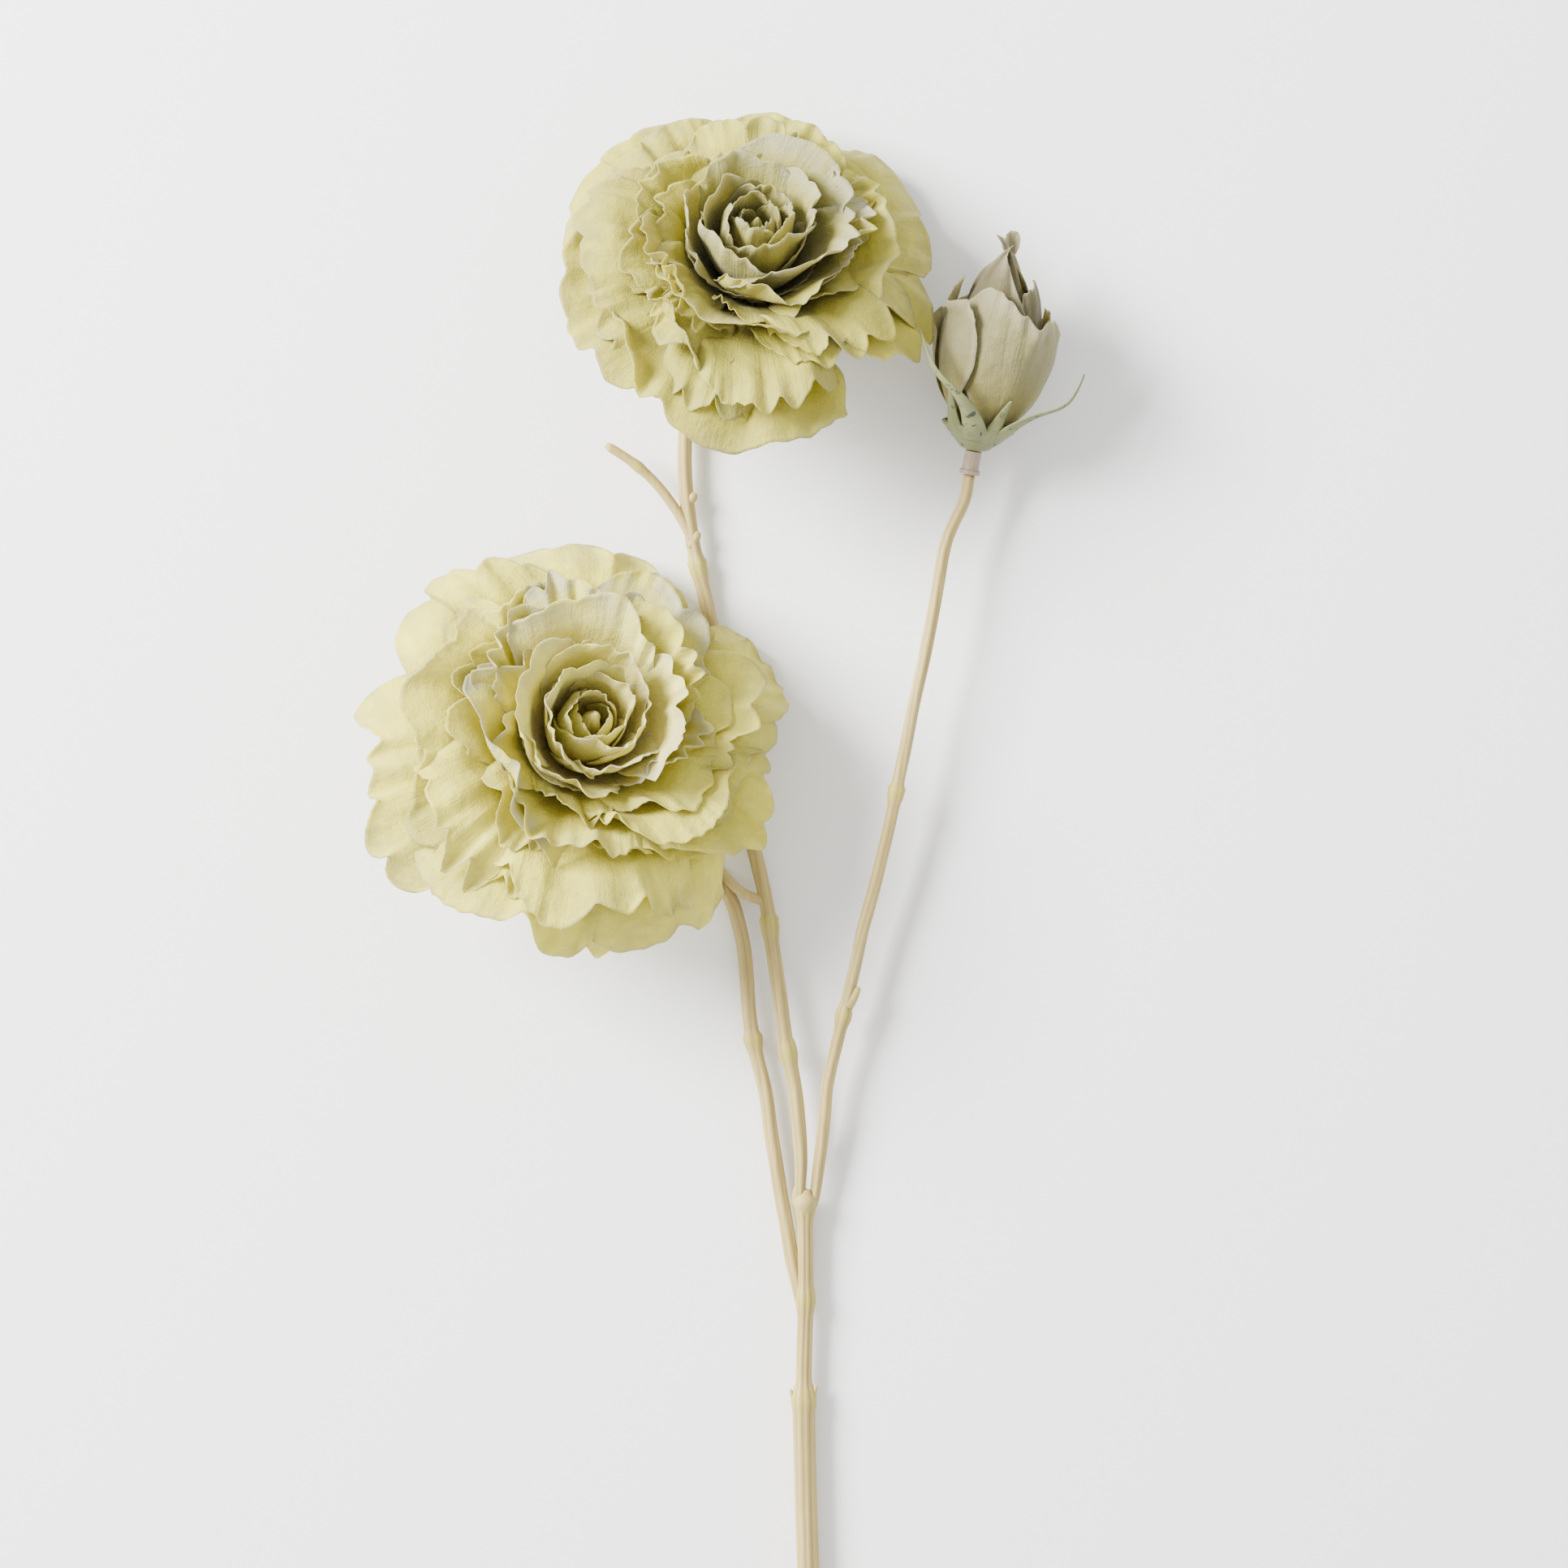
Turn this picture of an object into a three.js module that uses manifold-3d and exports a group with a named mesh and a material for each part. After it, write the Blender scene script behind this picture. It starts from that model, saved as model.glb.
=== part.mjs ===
// Artificial cut lisianthus spray, laid on a table: two open double blooms and one bud on a wired, forked stem.
// Millimetres, +Z up. The spray lies along +Y with the cut end of its stem towards -Y. The origin is at the
// bottom centre of its box, on the table.
import * as THREE from "three";
import { mergeVertices } from "three/addons/utils/BufferGeometryUtils.js";
import Module from "manifold-3d";

const wasm = await Module();
wasm.setup();

// ---- Driving dimensions ----
const CLEARANCE = 0.35; // air between two pieces that touch

const MAIN_LENGTH = 232; // lower stem, from the cut end to the collar
const MAIN_RADIUS = 2.95;
const COLLAR_RISE = 0.75; // how far a leaf joint stands out from its stem
const BRANCH_RADIUS = 1.95; // the central and left upper stems, where they stand free
const BUD_BRANCH_RADIUS = 1.7; // the right upper stem
const START_RADIUS = 1.5; // the same branches where they leave the trunk
const TRUNK_RADIUS = 2.1; // between the collar and the fork
const TIP_RADIUS = 1.6; // where a stem enters its flower
const TWIG_RADIUS = 1.35; // bare side twigs
const WIRE_RADIUS = 0.42;
const WIRE_STICKS_OUT = 1.2; // bare wire beyond the cut end

const BLOOM_A_REACH = 46; // length of an outermost petal of the upper bloom, from its foot to its rim
const BLOOM_B_REACH = 54;
const HEART_HEIGHT = 30; // length of the petals at a bloom's centre
const PETAL_THICKNESS = 0.6;
const SEPAL_THICKNESS = 0.9;
const CALYX_DEPTH = 10; // from the calyx's rim down to the stem
const CALYX_WALL = 1.1;

const BUD_REACH = 41; // length of the bud's outer petals
const BUD_HEART_LENGTH = 54;
const SLEEVE_LENGTH = 6; // plastic sleeve that joins the bud to its stem
const SLEEVE_RADIUS = 2.15;

// ---- Places ----
const COLLAR = new THREE.Vector3(5, -159, MAIN_RADIUS + COLLAR_RISE); // a leaf joint where the stem gets thinner
const FORK = new THREE.Vector3(5.3, -107.8, 4.8); // where the trunk ends in the central and right branches
const BLOOM_A = { foot: [-9.5, 128.5, 20.6], lean: 30, towards: 78, reach: BLOOM_A_REACH };
const BLOOM_B = { foot: [-54.3, 9.5, 21.5], lean: 23, towards: 48, reach: BLOOM_B_REACH };
const BUD = { foot: [49.56, 89.57, 15.2], lean: 79, towards: 80 };

const DEG = Math.PI / 180;
const lerp = (a, b, t) => a + (b - a) * t;
const smooth = (from, to, x) => THREE.MathUtils.smoothstep(x, from, to);
const point = ([x, y, z]) => new THREE.Vector3(x, y, z);

// ---- Solids and meshes ----
function solidOf(geometry) {
  const bare = geometry.clone();
  bare.deleteAttribute("normal");
  bare.deleteAttribute("uv");
  const merged = mergeVertices(bare, 1e-4);
  return new wasm.Manifold(
    new wasm.Mesh({
      numProp: 3,
      vertProperties: new Float32Array(merged.attributes.position.array),
      triVerts: new Uint32Array(merged.index.array),
    }),
  );
}

function geometryOf(solid) {
  const mesh = solid.getMesh();
  const geometry = new THREE.BufferGeometry();
  geometry.setAttribute("position", new THREE.BufferAttribute(mesh.vertProperties, mesh.numProp));
  geometry.setIndex(new THREE.BufferAttribute(mesh.triVerts, 1));
  geometry.computeVertexNormals();
  return geometry;
}

function gridGeometry(points, faces) {
  const geometry = new THREE.BufferGeometry().setFromPoints(points);
  geometry.setIndex(faces);
  geometry.computeVertexNormals();
  return geometry;
}

// A closed thin sheet. place(across, along) gives its middle surface, across from -1 to 1 and along from 0 to 1.
function sheet(place, thickness, columns, rows) {
  const step = 1e-3;
  const front = [];
  const back = [];
  for (let j = 0; j <= rows; j++)
    for (let i = 0; i <= columns; i++) {
      const across = lerp(-1, 1, i / columns);
      const along = j / rows;
      const sideways = place(across + step, along).sub(place(across - step, along));
      const onwards = place(across, along + step).sub(place(across, along - step));
      const normal = sideways.cross(onwards).normalize();
      const middle = place(across, along);
      front.push(middle.clone().addScaledVector(normal, thickness / 2));
      back.push(middle.clone().addScaledVector(normal, -thickness / 2));
    }
  const count = front.length;
  const at = (i, j) => j * (columns + 1) + i;
  const faces = [];
  const quad = (a, b, c, d) => faces.push(a, b, c, a, c, d);
  for (let j = 0; j < rows; j++)
    for (let i = 0; i < columns; i++) {
      quad(at(i, j), at(i + 1, j), at(i + 1, j + 1), at(i, j + 1));
      quad(count + at(i, j), count + at(i, j + 1), count + at(i + 1, j + 1), count + at(i + 1, j));
    }
  for (let i = 0; i < columns; i++) {
    quad(at(i, 0), count + at(i, 0), count + at(i + 1, 0), at(i + 1, 0));
    quad(at(i + 1, rows), count + at(i + 1, rows), count + at(i, rows), at(i, rows));
  }
  for (let j = 0; j < rows; j++) {
    quad(at(0, j + 1), count + at(0, j + 1), count + at(0, j), at(0, j));
    quad(at(columns, j), count + at(columns, j), count + at(columns, j + 1), at(columns, j + 1));
  }
  return gridGeometry([...front, ...back], faces);
}

// A closed tube along stations of { centre, normal, binormal }. radius(angle, share) may change along and around it.
function tube(stations, radius, sides) {
  const points = [];
  stations.forEach(({ centre, normal, binormal }, k) => {
    const share = k / (stations.length - 1);
    for (let i = 0; i < sides; i++) {
      const angle = (i / sides) * 2 * Math.PI;
      const r = radius(angle, share);
      const rim = centre.clone();
      rim.addScaledVector(normal, r * Math.cos(angle));
      rim.addScaledVector(binormal, r * Math.sin(angle));
      points.push(rim);
    }
  });
  const faces = [];
  for (let k = 0; k < stations.length - 1; k++)
    for (let i = 0; i < sides; i++) {
      const a = k * sides + i;
      const b = k * sides + ((i + 1) % sides);
      faces.push(a, b, b + sides, a, b + sides, a + sides);
    }
  const last = stations.length - 1;
  const first = points.push(stations[0].centre.clone()) - 1;
  const end = points.push(stations[last].centre.clone()) - 1;
  for (let i = 0; i < sides; i++) {
    const next = (i + 1) % sides;
    faces.push(first, next, i);
    faces.push(end, last * sides + i, last * sides + next);
  }
  return gridGeometry(points, faces);
}

// Evenly spaced stations along a smooth curve through the given points.
function stationsAlong(points, spacing) {
  const curve = new THREE.CatmullRomCurve3(points, false, "centripetal");
  const steps = Math.max(2, Math.round(curve.getLength() / spacing));
  const frames = curve.computeFrenetFrames(steps, false);
  return curve.getSpacedPoints(steps).map((centre, k) => ({
    centre,
    normal: frames.normals[k],
    binormal: frames.binormals[k],
    tangent: frames.tangents[k],
  }));
}

// A copy of the stations carried on past the first one by some distance, so that a bore cut with it opens there.
function openedAt(stations, distance) {
  const { centre, tangent, normal, binormal } = stations[0];
  const before = centre.clone().addScaledVector(tangent, -distance);
  return [{ centre: before, tangent, normal, binormal }, ...stations.slice(1)];
}

// ---- Materials ----
const finish = (color, roughness, metalness = 0) =>
  new THREE.MeshStandardMaterial({ color, roughness, metalness, side: THREE.DoubleSide });
const MATERIALS = {
  petal: finish(0xd9d59a, 0.62),
  heart: finish(0xb5a97c, 0.66),
  budPetal: finish(0xc9c09c, 0.6),
  stem: finish(0xdcc795, 0.58),
  calyx: finish(0xa9ad86, 0.55),
  sleeve: finish(0xd2bfae, 0.4),
  receptacle: finish(0xd8d4bc, 0.6),
  wire: finish(0x8c9088, 0.45, 0.9),
};
const spray = new THREE.Group();
function add(name, geometry, material, parent = spray) {
  const mesh = new THREE.Mesh(geometry, MATERIALS[material]);
  mesh.name = name;
  parent.add(mesh);
  return mesh;
}

// ---- Flowers: a nested family of bowls ----
// Each flower's petals lie on bowls that open one inside another. Layer 0 is the closed centre and layer 1 the
// outermost bowl; a profile starts at its foot and turns evenly, as an arc, from one angle off the axis to another.
const BLOOM_BOWLS = {
  footRadius: [1.5, 7],
  footHeight: [2, -3],
  startAngle: [28, 50],
  endAngle: [-30, 120],
  opening: 1.35, // over 1, the inner bowls stay closed longer
};
const BUD_BOWLS = {
  footRadius: [1.2, 3.6],
  footHeight: [2, -0.5],
  startAngle: [24, 46],
  endAngle: [-48, -18],
  opening: 1,
};

function onBowl(bowls, lengths, layer, along, azimuth) {
  const start = lerp(...bowls.startAngle, layer) * DEG;
  const end = lerp(...bowls.endAngle, layer ** bowls.opening) * DEG;
  const turn = (end - start) * along;
  const chord = lerp(...lengths, layer) * along * (Math.abs(turn) < 1e-6 ? 1 : Math.sin(turn / 2) / (turn / 2));
  const radius = lerp(...bowls.footRadius, layer) + chord * Math.sin(start + turn / 2);
  const height = lerp(...bowls.footHeight, layer) + chord * Math.cos(start + turn / 2);
  return new THREE.Vector3(radius * Math.cos(azimuth), radius * Math.sin(azimuth), height);
}

// One petal. Its edges pass before one neighbour and behind the other, as petals that twist round a flower do.
const CLAW_SHARE = 0.26; // a petal's foot, as a share of its full width
const SHOULDER = 0.24; // how far a petal's corners fall short of its rim
const WIDEST_AT = 0.6; // where along itself a petal reaches its full width
function petal(bowls, lengths, { azimuth, layer, halfWidth, twist, length = 1, ruffle = 0, waves = 2, shoulder = SHOULDER }) {
  return (across, along) => {
    const reach = along * length * (1 - shoulder * Math.abs(across) ** 2.6 * smooth(0.3, 1, along));
    const width = halfWidth * lerp(CLAW_SHARE, 1, smooth(0, WIDEST_AT, along)) * (1 - 0.12 * smooth(0.7, 1, along));
    const wave = ruffle * along ** 3 * Math.sin((across * waves + azimuth / 40) * Math.PI);
    return onBowl(bowls, lengths, layer + twist * across + wave, reach, (azimuth + across * width) * DEG);
  };
}

// A group whose +Z runs along a flower's axis, which leans from upright towards a compass angle.
function flowerGroup({ foot, lean, towards }) {
  const flower = new THREE.Group();
  flower.position.set(...foot);
  flower.quaternion.setFromUnitVectors(new THREE.Vector3(0, 0, 1), axisOf({ lean, towards }));
  spray.add(flower);
  return flower;
}
function axisOf({ lean, towards }) {
  const flat = Math.sin(lean * DEG);
  return new THREE.Vector3(flat * Math.cos(towards * DEG), flat * Math.sin(towards * DEG), Math.cos(lean * DEG));
}

// Half a cross-section of a flower, from the axis round and back to it, turned about the axis. Heights run along +Z.
function turned(profile, sides) {
  const points = profile.map(([radius, height]) => new THREE.Vector2(radius, height));
  return new THREE.LatheGeometry(points, sides).rotateX(Math.PI / 2);
}
function profileOf(bowls, lengths, layer, from, to, rows) {
  const profile = [];
  for (let j = 0; j <= rows; j++) {
    const at = onBowl(bowls, lengths, layer, lerp(from, to, j / rows), 0);
    profile.push([at.x, at.z]);
  }
  return profile;
}

// ---- Blooms ----
// The petals wind outwards round the centre in one spiral, and each opens a little wider than the one before it.
const PETAL_GROUPS = { inner: 6, middle: 7, outer: 7 };
const PETAL_COUNT = 20;
const PETAL_STEP = 54.5; // degrees from one petal to the next
const PETAL_LAYERS = [0.51, 0.965];
const PETAL_HALF_WIDTHS = [44, 38];
const PETAL_TWIST = 0.055;
const PETAL_RUFFLE = 0.015;
// The first petal's azimuth, then each petal's length as a share of its bowl's.
const BLOOM_A_PETALS = {
  first: 294,
  lengths: [0.98, 0.96, 0.94, 0.98, 0.96, 1, 0.97, 0.95, 0.98, 1, 1, 1, 0.97, 1.04, 1.0, 1.02, 0.97, 1.05, 1.06, 1.04],
};
const BLOOM_B_PETALS = {
  first: 341,
  lengths: [0.96, 0.98, 0.95, 1, 0.97, 0.98, 0.96, 1, 0.94, 0.95, 1, 0.97, 1, 1, 1.02, 0.92, 0.97, 1.06, 0.98, 0.95],
};

// The rolled centre is one piece: two rings of small petals on a common foot.
const HEART_RINGS = [
  { layer: 0.1, count: 3, halfWidth: 74, twist: 0.045, ruffle: 0.012, length: 0.98 },
  { layer: 0.37, count: 5, halfWidth: 50, twist: 0.045, ruffle: 0.015, length: 0.95 },
];
const HEART_FOOT_LAYER = 0.42;
const HEART_FOOT_SHARE = 0.06; // of a petal's length
function bloomHeart(lengths, turn) {
  const inner = onBowl(BLOOM_BOWLS, lengths, 0, HEART_FOOT_SHARE, 0);
  const foot = [
    [0, BLOOM_BOWLS.footHeight[0] - 0.4],
    ...profileOf(BLOOM_BOWLS, lengths, HEART_FOOT_LAYER, -0.012, HEART_FOOT_SHARE, 1),
    [inner.x, inner.z],
    [0, inner.z + 1],
  ];
  let solid = solidOf(turned(foot, 12));
  for (const ring of HEART_RINGS)
    for (let k = 0; k < ring.count; k++) {
      const azimuth = turn + (k * 360) / ring.count;
      const shape = petal(BLOOM_BOWLS, lengths, { ...ring, azimuth });
      solid = solid.add(solidOf(sheet(shape, PETAL_THICKNESS, 5, 5)));
    }
  return geometryOf(solid);
}

// The cup that holds the petals' feet, with five narrow sepals under the outer petals.
const SEPAL_LAYER = 1.2;
const SEPAL_COUNT = 5;
function bloomCalyx(lengths) {
  const rimRadius = lerp(...BLOOM_BOWLS.footRadius, 1) + PETAL_THICKNESS / 2 + CLEARANCE;
  const rimHeight = lerp(...BLOOM_BOWLS.footHeight, 1) - PETAL_THICKNESS - CLEARANCE;
  const bottom = rimHeight - CALYX_DEPTH;
  const outer = [
    [0, bottom],
    [TIP_RADIUS + 0.5, bottom],
    [rimRadius * 0.72, bottom + CALYX_DEPTH * 0.34],
    [rimRadius + CALYX_WALL * 0.8, bottom + CALYX_DEPTH * 0.76],
    [rimRadius + CALYX_WALL, rimHeight],
  ];
  const inner = [
    [rimRadius, rimHeight],
    [rimRadius - 0.5, bottom + CALYX_DEPTH * 0.8],
    [rimRadius * 0.72 - CALYX_WALL, bottom + CALYX_DEPTH * 0.46],
    [0, bottom + CALYX_DEPTH * 0.46],
  ];
  let solid = solidOf(turned([...outer, ...inner], 15));
  for (let k = 0; k < SEPAL_COUNT; k++) {
    const azimuth = (k * 360) / SEPAL_COUNT + 12;
    const sepal = sheet(bloomSepal(lengths, azimuth), SEPAL_THICKNESS, 2, 7);
    solid = solid.add(solidOf(sepal));
  }
  return { geometry: geometryOf(solid), bottom };
}
const SEPAL_REACH = 0.62; // share of its bowl's length
const SEPAL_HALF_WIDTH = 2.3;
function bloomSepal(lengths, azimuth) {
  return (across, along) => {
    const reach = -0.025 + along * SEPAL_REACH;
    const on = onBowl(BLOOM_BOWLS, lengths, SEPAL_LAYER, reach, azimuth * DEG);
    const width = SEPAL_HALF_WIDTH * lerp(1, 0.16, Math.max(along, 0) ** 1.4);
    const side = new THREE.Vector3(-Math.sin(azimuth * DEG), Math.cos(azimuth * DEG), 0);
    return on.addScaledVector(side, width * across);
  };
}

// The plug inside the calyx that the petals' feet stand round.
function receptacle() {
  const foot = (layer) => ({
    radius: lerp(...BLOOM_BOWLS.footRadius, layer),
    height: lerp(...BLOOM_BOWLS.footHeight, layer),
  });
  const drop = (PETAL_THICKNESS + 3 * CLEARANCE) * 1.35; // measured straight down from a sloping line of feet
  const rimHeight = foot(1).height - PETAL_THICKNESS - CLEARANCE;
  const rimRadius = foot(1).radius + PETAL_THICKNESS / 2 + CLEARANCE;
  const floor = rimHeight - CALYX_DEPTH * 0.54 + CLEARANCE;
  const neck = rimRadius * 0.72 - CALYX_WALL - CLEARANCE * 1.5;
  const profile = [
    [0, floor],
    [neck, floor],
    [rimRadius - 0.9 - CLEARANCE * 1.5, rimHeight - CALYX_DEPTH * 0.2],
    [foot(1).radius - 1.4, foot(1).height - drop],
    [foot(0).radius, foot(0).height - drop],
    [0, foot(0).height - drop],
  ];
  return turned(profile, 12);
}

// Returns the point under the calyx where the stem meets it.
function bloom(name, place, petals) {
  const flower = flowerGroup(place);
  const lengths = [HEART_HEIGHT, place.reach];
  let k = 0;
  for (const [group, count] of Object.entries(PETAL_GROUPS))
    for (let number = 1; number <= count; number++) {
      const outwards = k / (PETAL_COUNT - 1);
      const shape = petal(BLOOM_BOWLS, lengths, {
        azimuth: petals.first + k * PETAL_STEP,
        layer: lerp(...PETAL_LAYERS, outwards),
        halfWidth: lerp(...PETAL_HALF_WIDTHS, outwards),
        twist: PETAL_TWIST,
        ruffle: PETAL_RUFFLE,
        length: petals.lengths[k],
      });
      add(`${name}_${group}_petal_${number}`, sheet(shape, PETAL_THICKNESS, 6, 5), "petal", flower);
      k += 1;
    }
  add(`${name}_heart`, bloomHeart(lengths, petals.first + 15), "heart", flower);
  add(`${name}_receptacle`, receptacle(), "receptacle", flower);
  const calyx = bloomCalyx(lengths);
  add(`${name}_calyx`, calyx.geometry, "calyx", flower);
  return point(place.foot).addScaledVector(axisOf(place), calyx.bottom - CLEARANCE);
}
const bloomAStemEnd = bloom("bloom_a", BLOOM_A, BLOOM_A_PETALS);
const bloomBStemEnd = bloom("bloom_b", BLOOM_B, BLOOM_B_PETALS);

// ---- Bud ----
// In the bud's own group +X is to its right, and azimuth 270 faces up.
const BUD_PETALS = [
  { azimuth: 285, layer: 1.0, halfWidth: 74, length: 0.97, twist: 0.16 }, // it flares towards its right edge
  { azimuth: 196, layer: 0.95, halfWidth: 50, length: 0.95 },
  { azimuth: 106, layer: 0.95, halfWidth: 70, length: 0.95 },
  { azimuth: 16, layer: 0.95, halfWidth: 54, length: 0.93 },
];
// Each sepal drifts round the bud by some degrees as it leaves the calyx for a bowl of its own.
const BUD_SEPALS = [
  { azimuth: 308, drift: 36, layer: 2.1, reach: 1.2 },
  { azimuth: 283, drift: 7, layer: 1.2, reach: 0.42 },
  { azimuth: 256, drift: -42, layer: 1.8, reach: 1.12 },
  { azimuth: 215, drift: 6, layer: 1.25, reach: 0.45 },
  { azimuth: 80, drift: 0, layer: 1.25, reach: 0.6 },
];
const BUD_HEART_LAYER = 0.5;
const BUD_CALYX_DEPTH = 2;
const BUD_CALYX_GAPS = [1.0, 1.6]; // between the petals' bowl and the calyx, at its foot and at its rim
const BUD_CALYX_WALL = 0.9;
const BUD_CALYX_REACH = 0.2; // of a petal's length
const BUD_SEPAL_FOOT_LAYER = 1.45;
const BUD_SEPAL_HALF_WIDTH = 3.0;
// A profile that follows the outer petals' bowl at some distance outside it.
function besideBud(lengths, extra, from, to, rows) {
  const profile = [];
  for (let j = 0; j <= rows; j++) {
    const along = lerp(from, to, j / rows);
    const on = onBowl(BUD_BOWLS, lengths, 1, along, 0);
    const angle = lerp(BUD_BOWLS.startAngle[1], BUD_BOWLS.endAngle[1], along) * DEG;
    const away = lerp(...BUD_CALYX_GAPS, along / BUD_CALYX_REACH) + extra;
    profile.push([on.x + away * Math.cos(angle), on.z - away * Math.sin(angle)]);
  }
  return profile;
}
function bud() {
  const flower = flowerGroup(BUD);
  const lengths = [BUD_HEART_LENGTH, BUD_REACH];
  BUD_PETALS.forEach((one, k) => {
    const shape = petal(BUD_BOWLS, lengths, { twist: 0.09, ruffle: 0.03, shoulder: 0.13, ...one });
    add(`bud_petal_${k + 1}`, sheet(shape, PETAL_THICKNESS, 6, 6), "budPetal", flower);
  });
  const core = [[0, BUD_BOWLS.footHeight[0]], ...profileOf(BUD_BOWLS, lengths, BUD_HEART_LAYER, 0, 1, 7)];
  const [rimOfCore, heightOfCore] = core.at(-1);
  core.push([rimOfCore * 0.6, heightOfCore + 1.6], [0, heightOfCore - 3]);
  add("bud_heart", turned(core, 14), "heart", flower);

  const floor = lerp(...BUD_BOWLS.footHeight, 1) - PETAL_THICKNESS - CLEARANCE;
  const bottom = floor - BUD_CALYX_DEPTH;
  const outer = besideBud(lengths, BUD_CALYX_WALL, 0, BUD_CALYX_REACH, 4);
  const inner = besideBud(lengths, 0, BUD_CALYX_REACH, 0, 4);
  const base = [[0, bottom], [SLEEVE_RADIUS + 0.4, bottom], [SLEEVE_RADIUS + 1.4, bottom + 0.4]];
  const outline = [...base, ...outer, ...inner, [0, floor]];
  let solid = solidOf(turned(outline, 15));
  for (const one of BUD_SEPALS) solid = solid.add(solidOf(sheet(budSepal(lengths, one), SEPAL_THICKNESS, 2, 8)));
  add("bud_calyx", geometryOf(solid), "calyx", flower);

  const profile = [
    [0, bottom - CLEARANCE - SLEEVE_LENGTH],
    [SLEEVE_RADIUS + 0.5, bottom - CLEARANCE - SLEEVE_LENGTH],
    [SLEEVE_RADIUS + 0.5, bottom - CLEARANCE - SLEEVE_LENGTH + 1],
    [SLEEVE_RADIUS, bottom - CLEARANCE - SLEEVE_LENGTH + 1.2],
    [SLEEVE_RADIUS, bottom - CLEARANCE],
    [0, bottom - CLEARANCE],
  ];
  add("bud_sleeve", turned(profile, 14), "sleeve", flower);
  return point(BUD.foot).addScaledVector(axisOf(BUD), bottom - 2 * CLEARANCE - SLEEVE_LENGTH);
}
function budSepal(lengths, { azimuth, drift, layer, reach }) {
  return (across, along) => {
    // It follows the calyx at first and then bends away to its own bowl.
    const ownLayer = lerp(BUD_SEPAL_FOOT_LAYER, layer, smooth(0.1, 0.8, along));
    const turn = (azimuth + drift * Math.max(along, 0) ** 1.3) * DEG;
    const on = onBowl(BUD_BOWLS, lengths, ownLayer, 0.06 + along * (reach - 0.06), turn);
    const width = BUD_SEPAL_HALF_WIDTH * lerp(1, 0.12, Math.max(along, 0) ** 0.8);
    const side = new THREE.Vector3(-Math.sin(turn), Math.cos(turn), 0);
    return on.addScaledVector(side, width * across);
  };
}
const budStemEnd = bud();

// ---- Stems ----
const STATION_SPACING = 11;
const STEM_SIDES = 10;
const WIRE_SIDES = 6;
const BORE_RADIUS = WIRE_RADIUS + CLEARANCE;

// Where each branch begins: the central and right ones on top of the trunk, the left one at its side.
const BRANCH_START = {
  central: new THREE.Vector3(4.1, -107.4, 5.4),
  right: new THREE.Vector3(7.8, -107.4, 4.3),
  left: new THREE.Vector3(1.2, -134, 3.0),
};

// A swelling of the stem round a leaf joint, at some share of its length.
const joint = (share, at, span) => Math.exp(-(((share - at) / span) ** 2));

// Radius along a branch: thinner at the fork and where it enters a flower.
function branchRadius(share, joints, full) {
  const free = lerp(START_RADIUS, full, smooth(0, 0.08, share));
  const swelling = joints.reduce((sum, at) => sum + joint(share, at, 0.017), 0);
  return lerp(free, TIP_RADIUS, smooth(0.85, 1, share)) + swelling * COLLAR_RISE;
}

const twigRadius = (share) => TWIG_RADIUS * (1 + 0.2 * joint(share, 0.7, 0.05) - 0.12 * share);
function twig(points) {
  return solidOf(tube(stationsAlong(points.map(point), 6), (angle, share) => twigRadius(share), 8));
}

// A branch with its twigs. It is bored for its wire from its start, and the bore stays shut at the flower.
function branch(name, points, full, joints, twigs = []) {
  const stations = stationsAlong([BRANCH_START[name], ...points], STATION_SPACING);
  const radius = (angle, share) => branchRadius(share, joints, full);
  let solid = solidOf(tube(stations, radius, STEM_SIDES));
  for (const one of twigs) solid = solid.add(twig(one));
  const bored = openedAt(stations.slice(0, -1), 2);
  solid = solid.subtract(solidOf(tube(bored, () => BORE_RADIUS, WIRE_SIDES)));
  add(`stem_${name}`, geometryOf(solid), "stem");
  return stations;
}

const centralTwigs = [
  [[-24.2, 64.5, 4.2], [-27.6, 70.5, 5], [-32.8, 77.5, 6.5], [-38.2, 82.6, 8], [-46, 87.8, 10]],
  [[-5.2, -30.5, 4.8], [-10.5, -28.4, 6.2], [-15.2, -24, 7.4], [-19.2, -18.6, 8], [-23.6, -12.5, 8.4]],
  [[-23.6, 62, 4.3], [-22.4, 66, 5.2], [-20.6, 70, 6]],
];
const centralStations = branch(
  "central",
  [
    ...[
      [4.4, -97, 6.3],
      [2.9, -80, 6.4],
      [0.2, -64.3, 6.2],
      [-2.4, -46, 6],
      [-4.7, -31, 4.8],
      [-7.6, -17.6, 3.4],
      [-10.2, -7, 2.5],
      [-15.4, 24, 2.1],
      [-20.6, 48.5, 2.7],
      [-24, 64, 4.0],
      [-25.5, 77, 4.2],
      [-25.6, 92, 3.6],
      [-23.4, 105, 2.8],
      [-18, 114.6, 3.0],
    ].map(point),
    bloomAStemEnd.clone().addScaledVector(axisOf(BLOOM_A), -4),
    bloomAStemEnd,
  ],
  BRANCH_RADIUS,
  [0.175, 0.31, 0.7],
  centralTwigs,
);
const leftStations = branch(
  "left",
  [
    ...[
      [1.1, -122, 3.2],
      [-0.7, -107, 3.3],
      [-2.9, -93.7, 3.4],
      [-4.8, -81, 3.5],
      [-8.6, -63.5, 3.5],
      [-9.6, -51.2, 3.2],
      [-11, -39.5, 3.1],
      [-14.6, -28.8, 2.8],
      [-21.5, -21.8, 2.5],
      [-39.5, -10.4, 2.2],
      [-52.6, -1.2, 2.3],
    ].map(point),
    bloomBStemEnd.clone().addScaledVector(axisOf(BLOOM_B), -5),
    bloomBStemEnd,
  ],
  BRANCH_RADIUS,
  [0.415],
);
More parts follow.
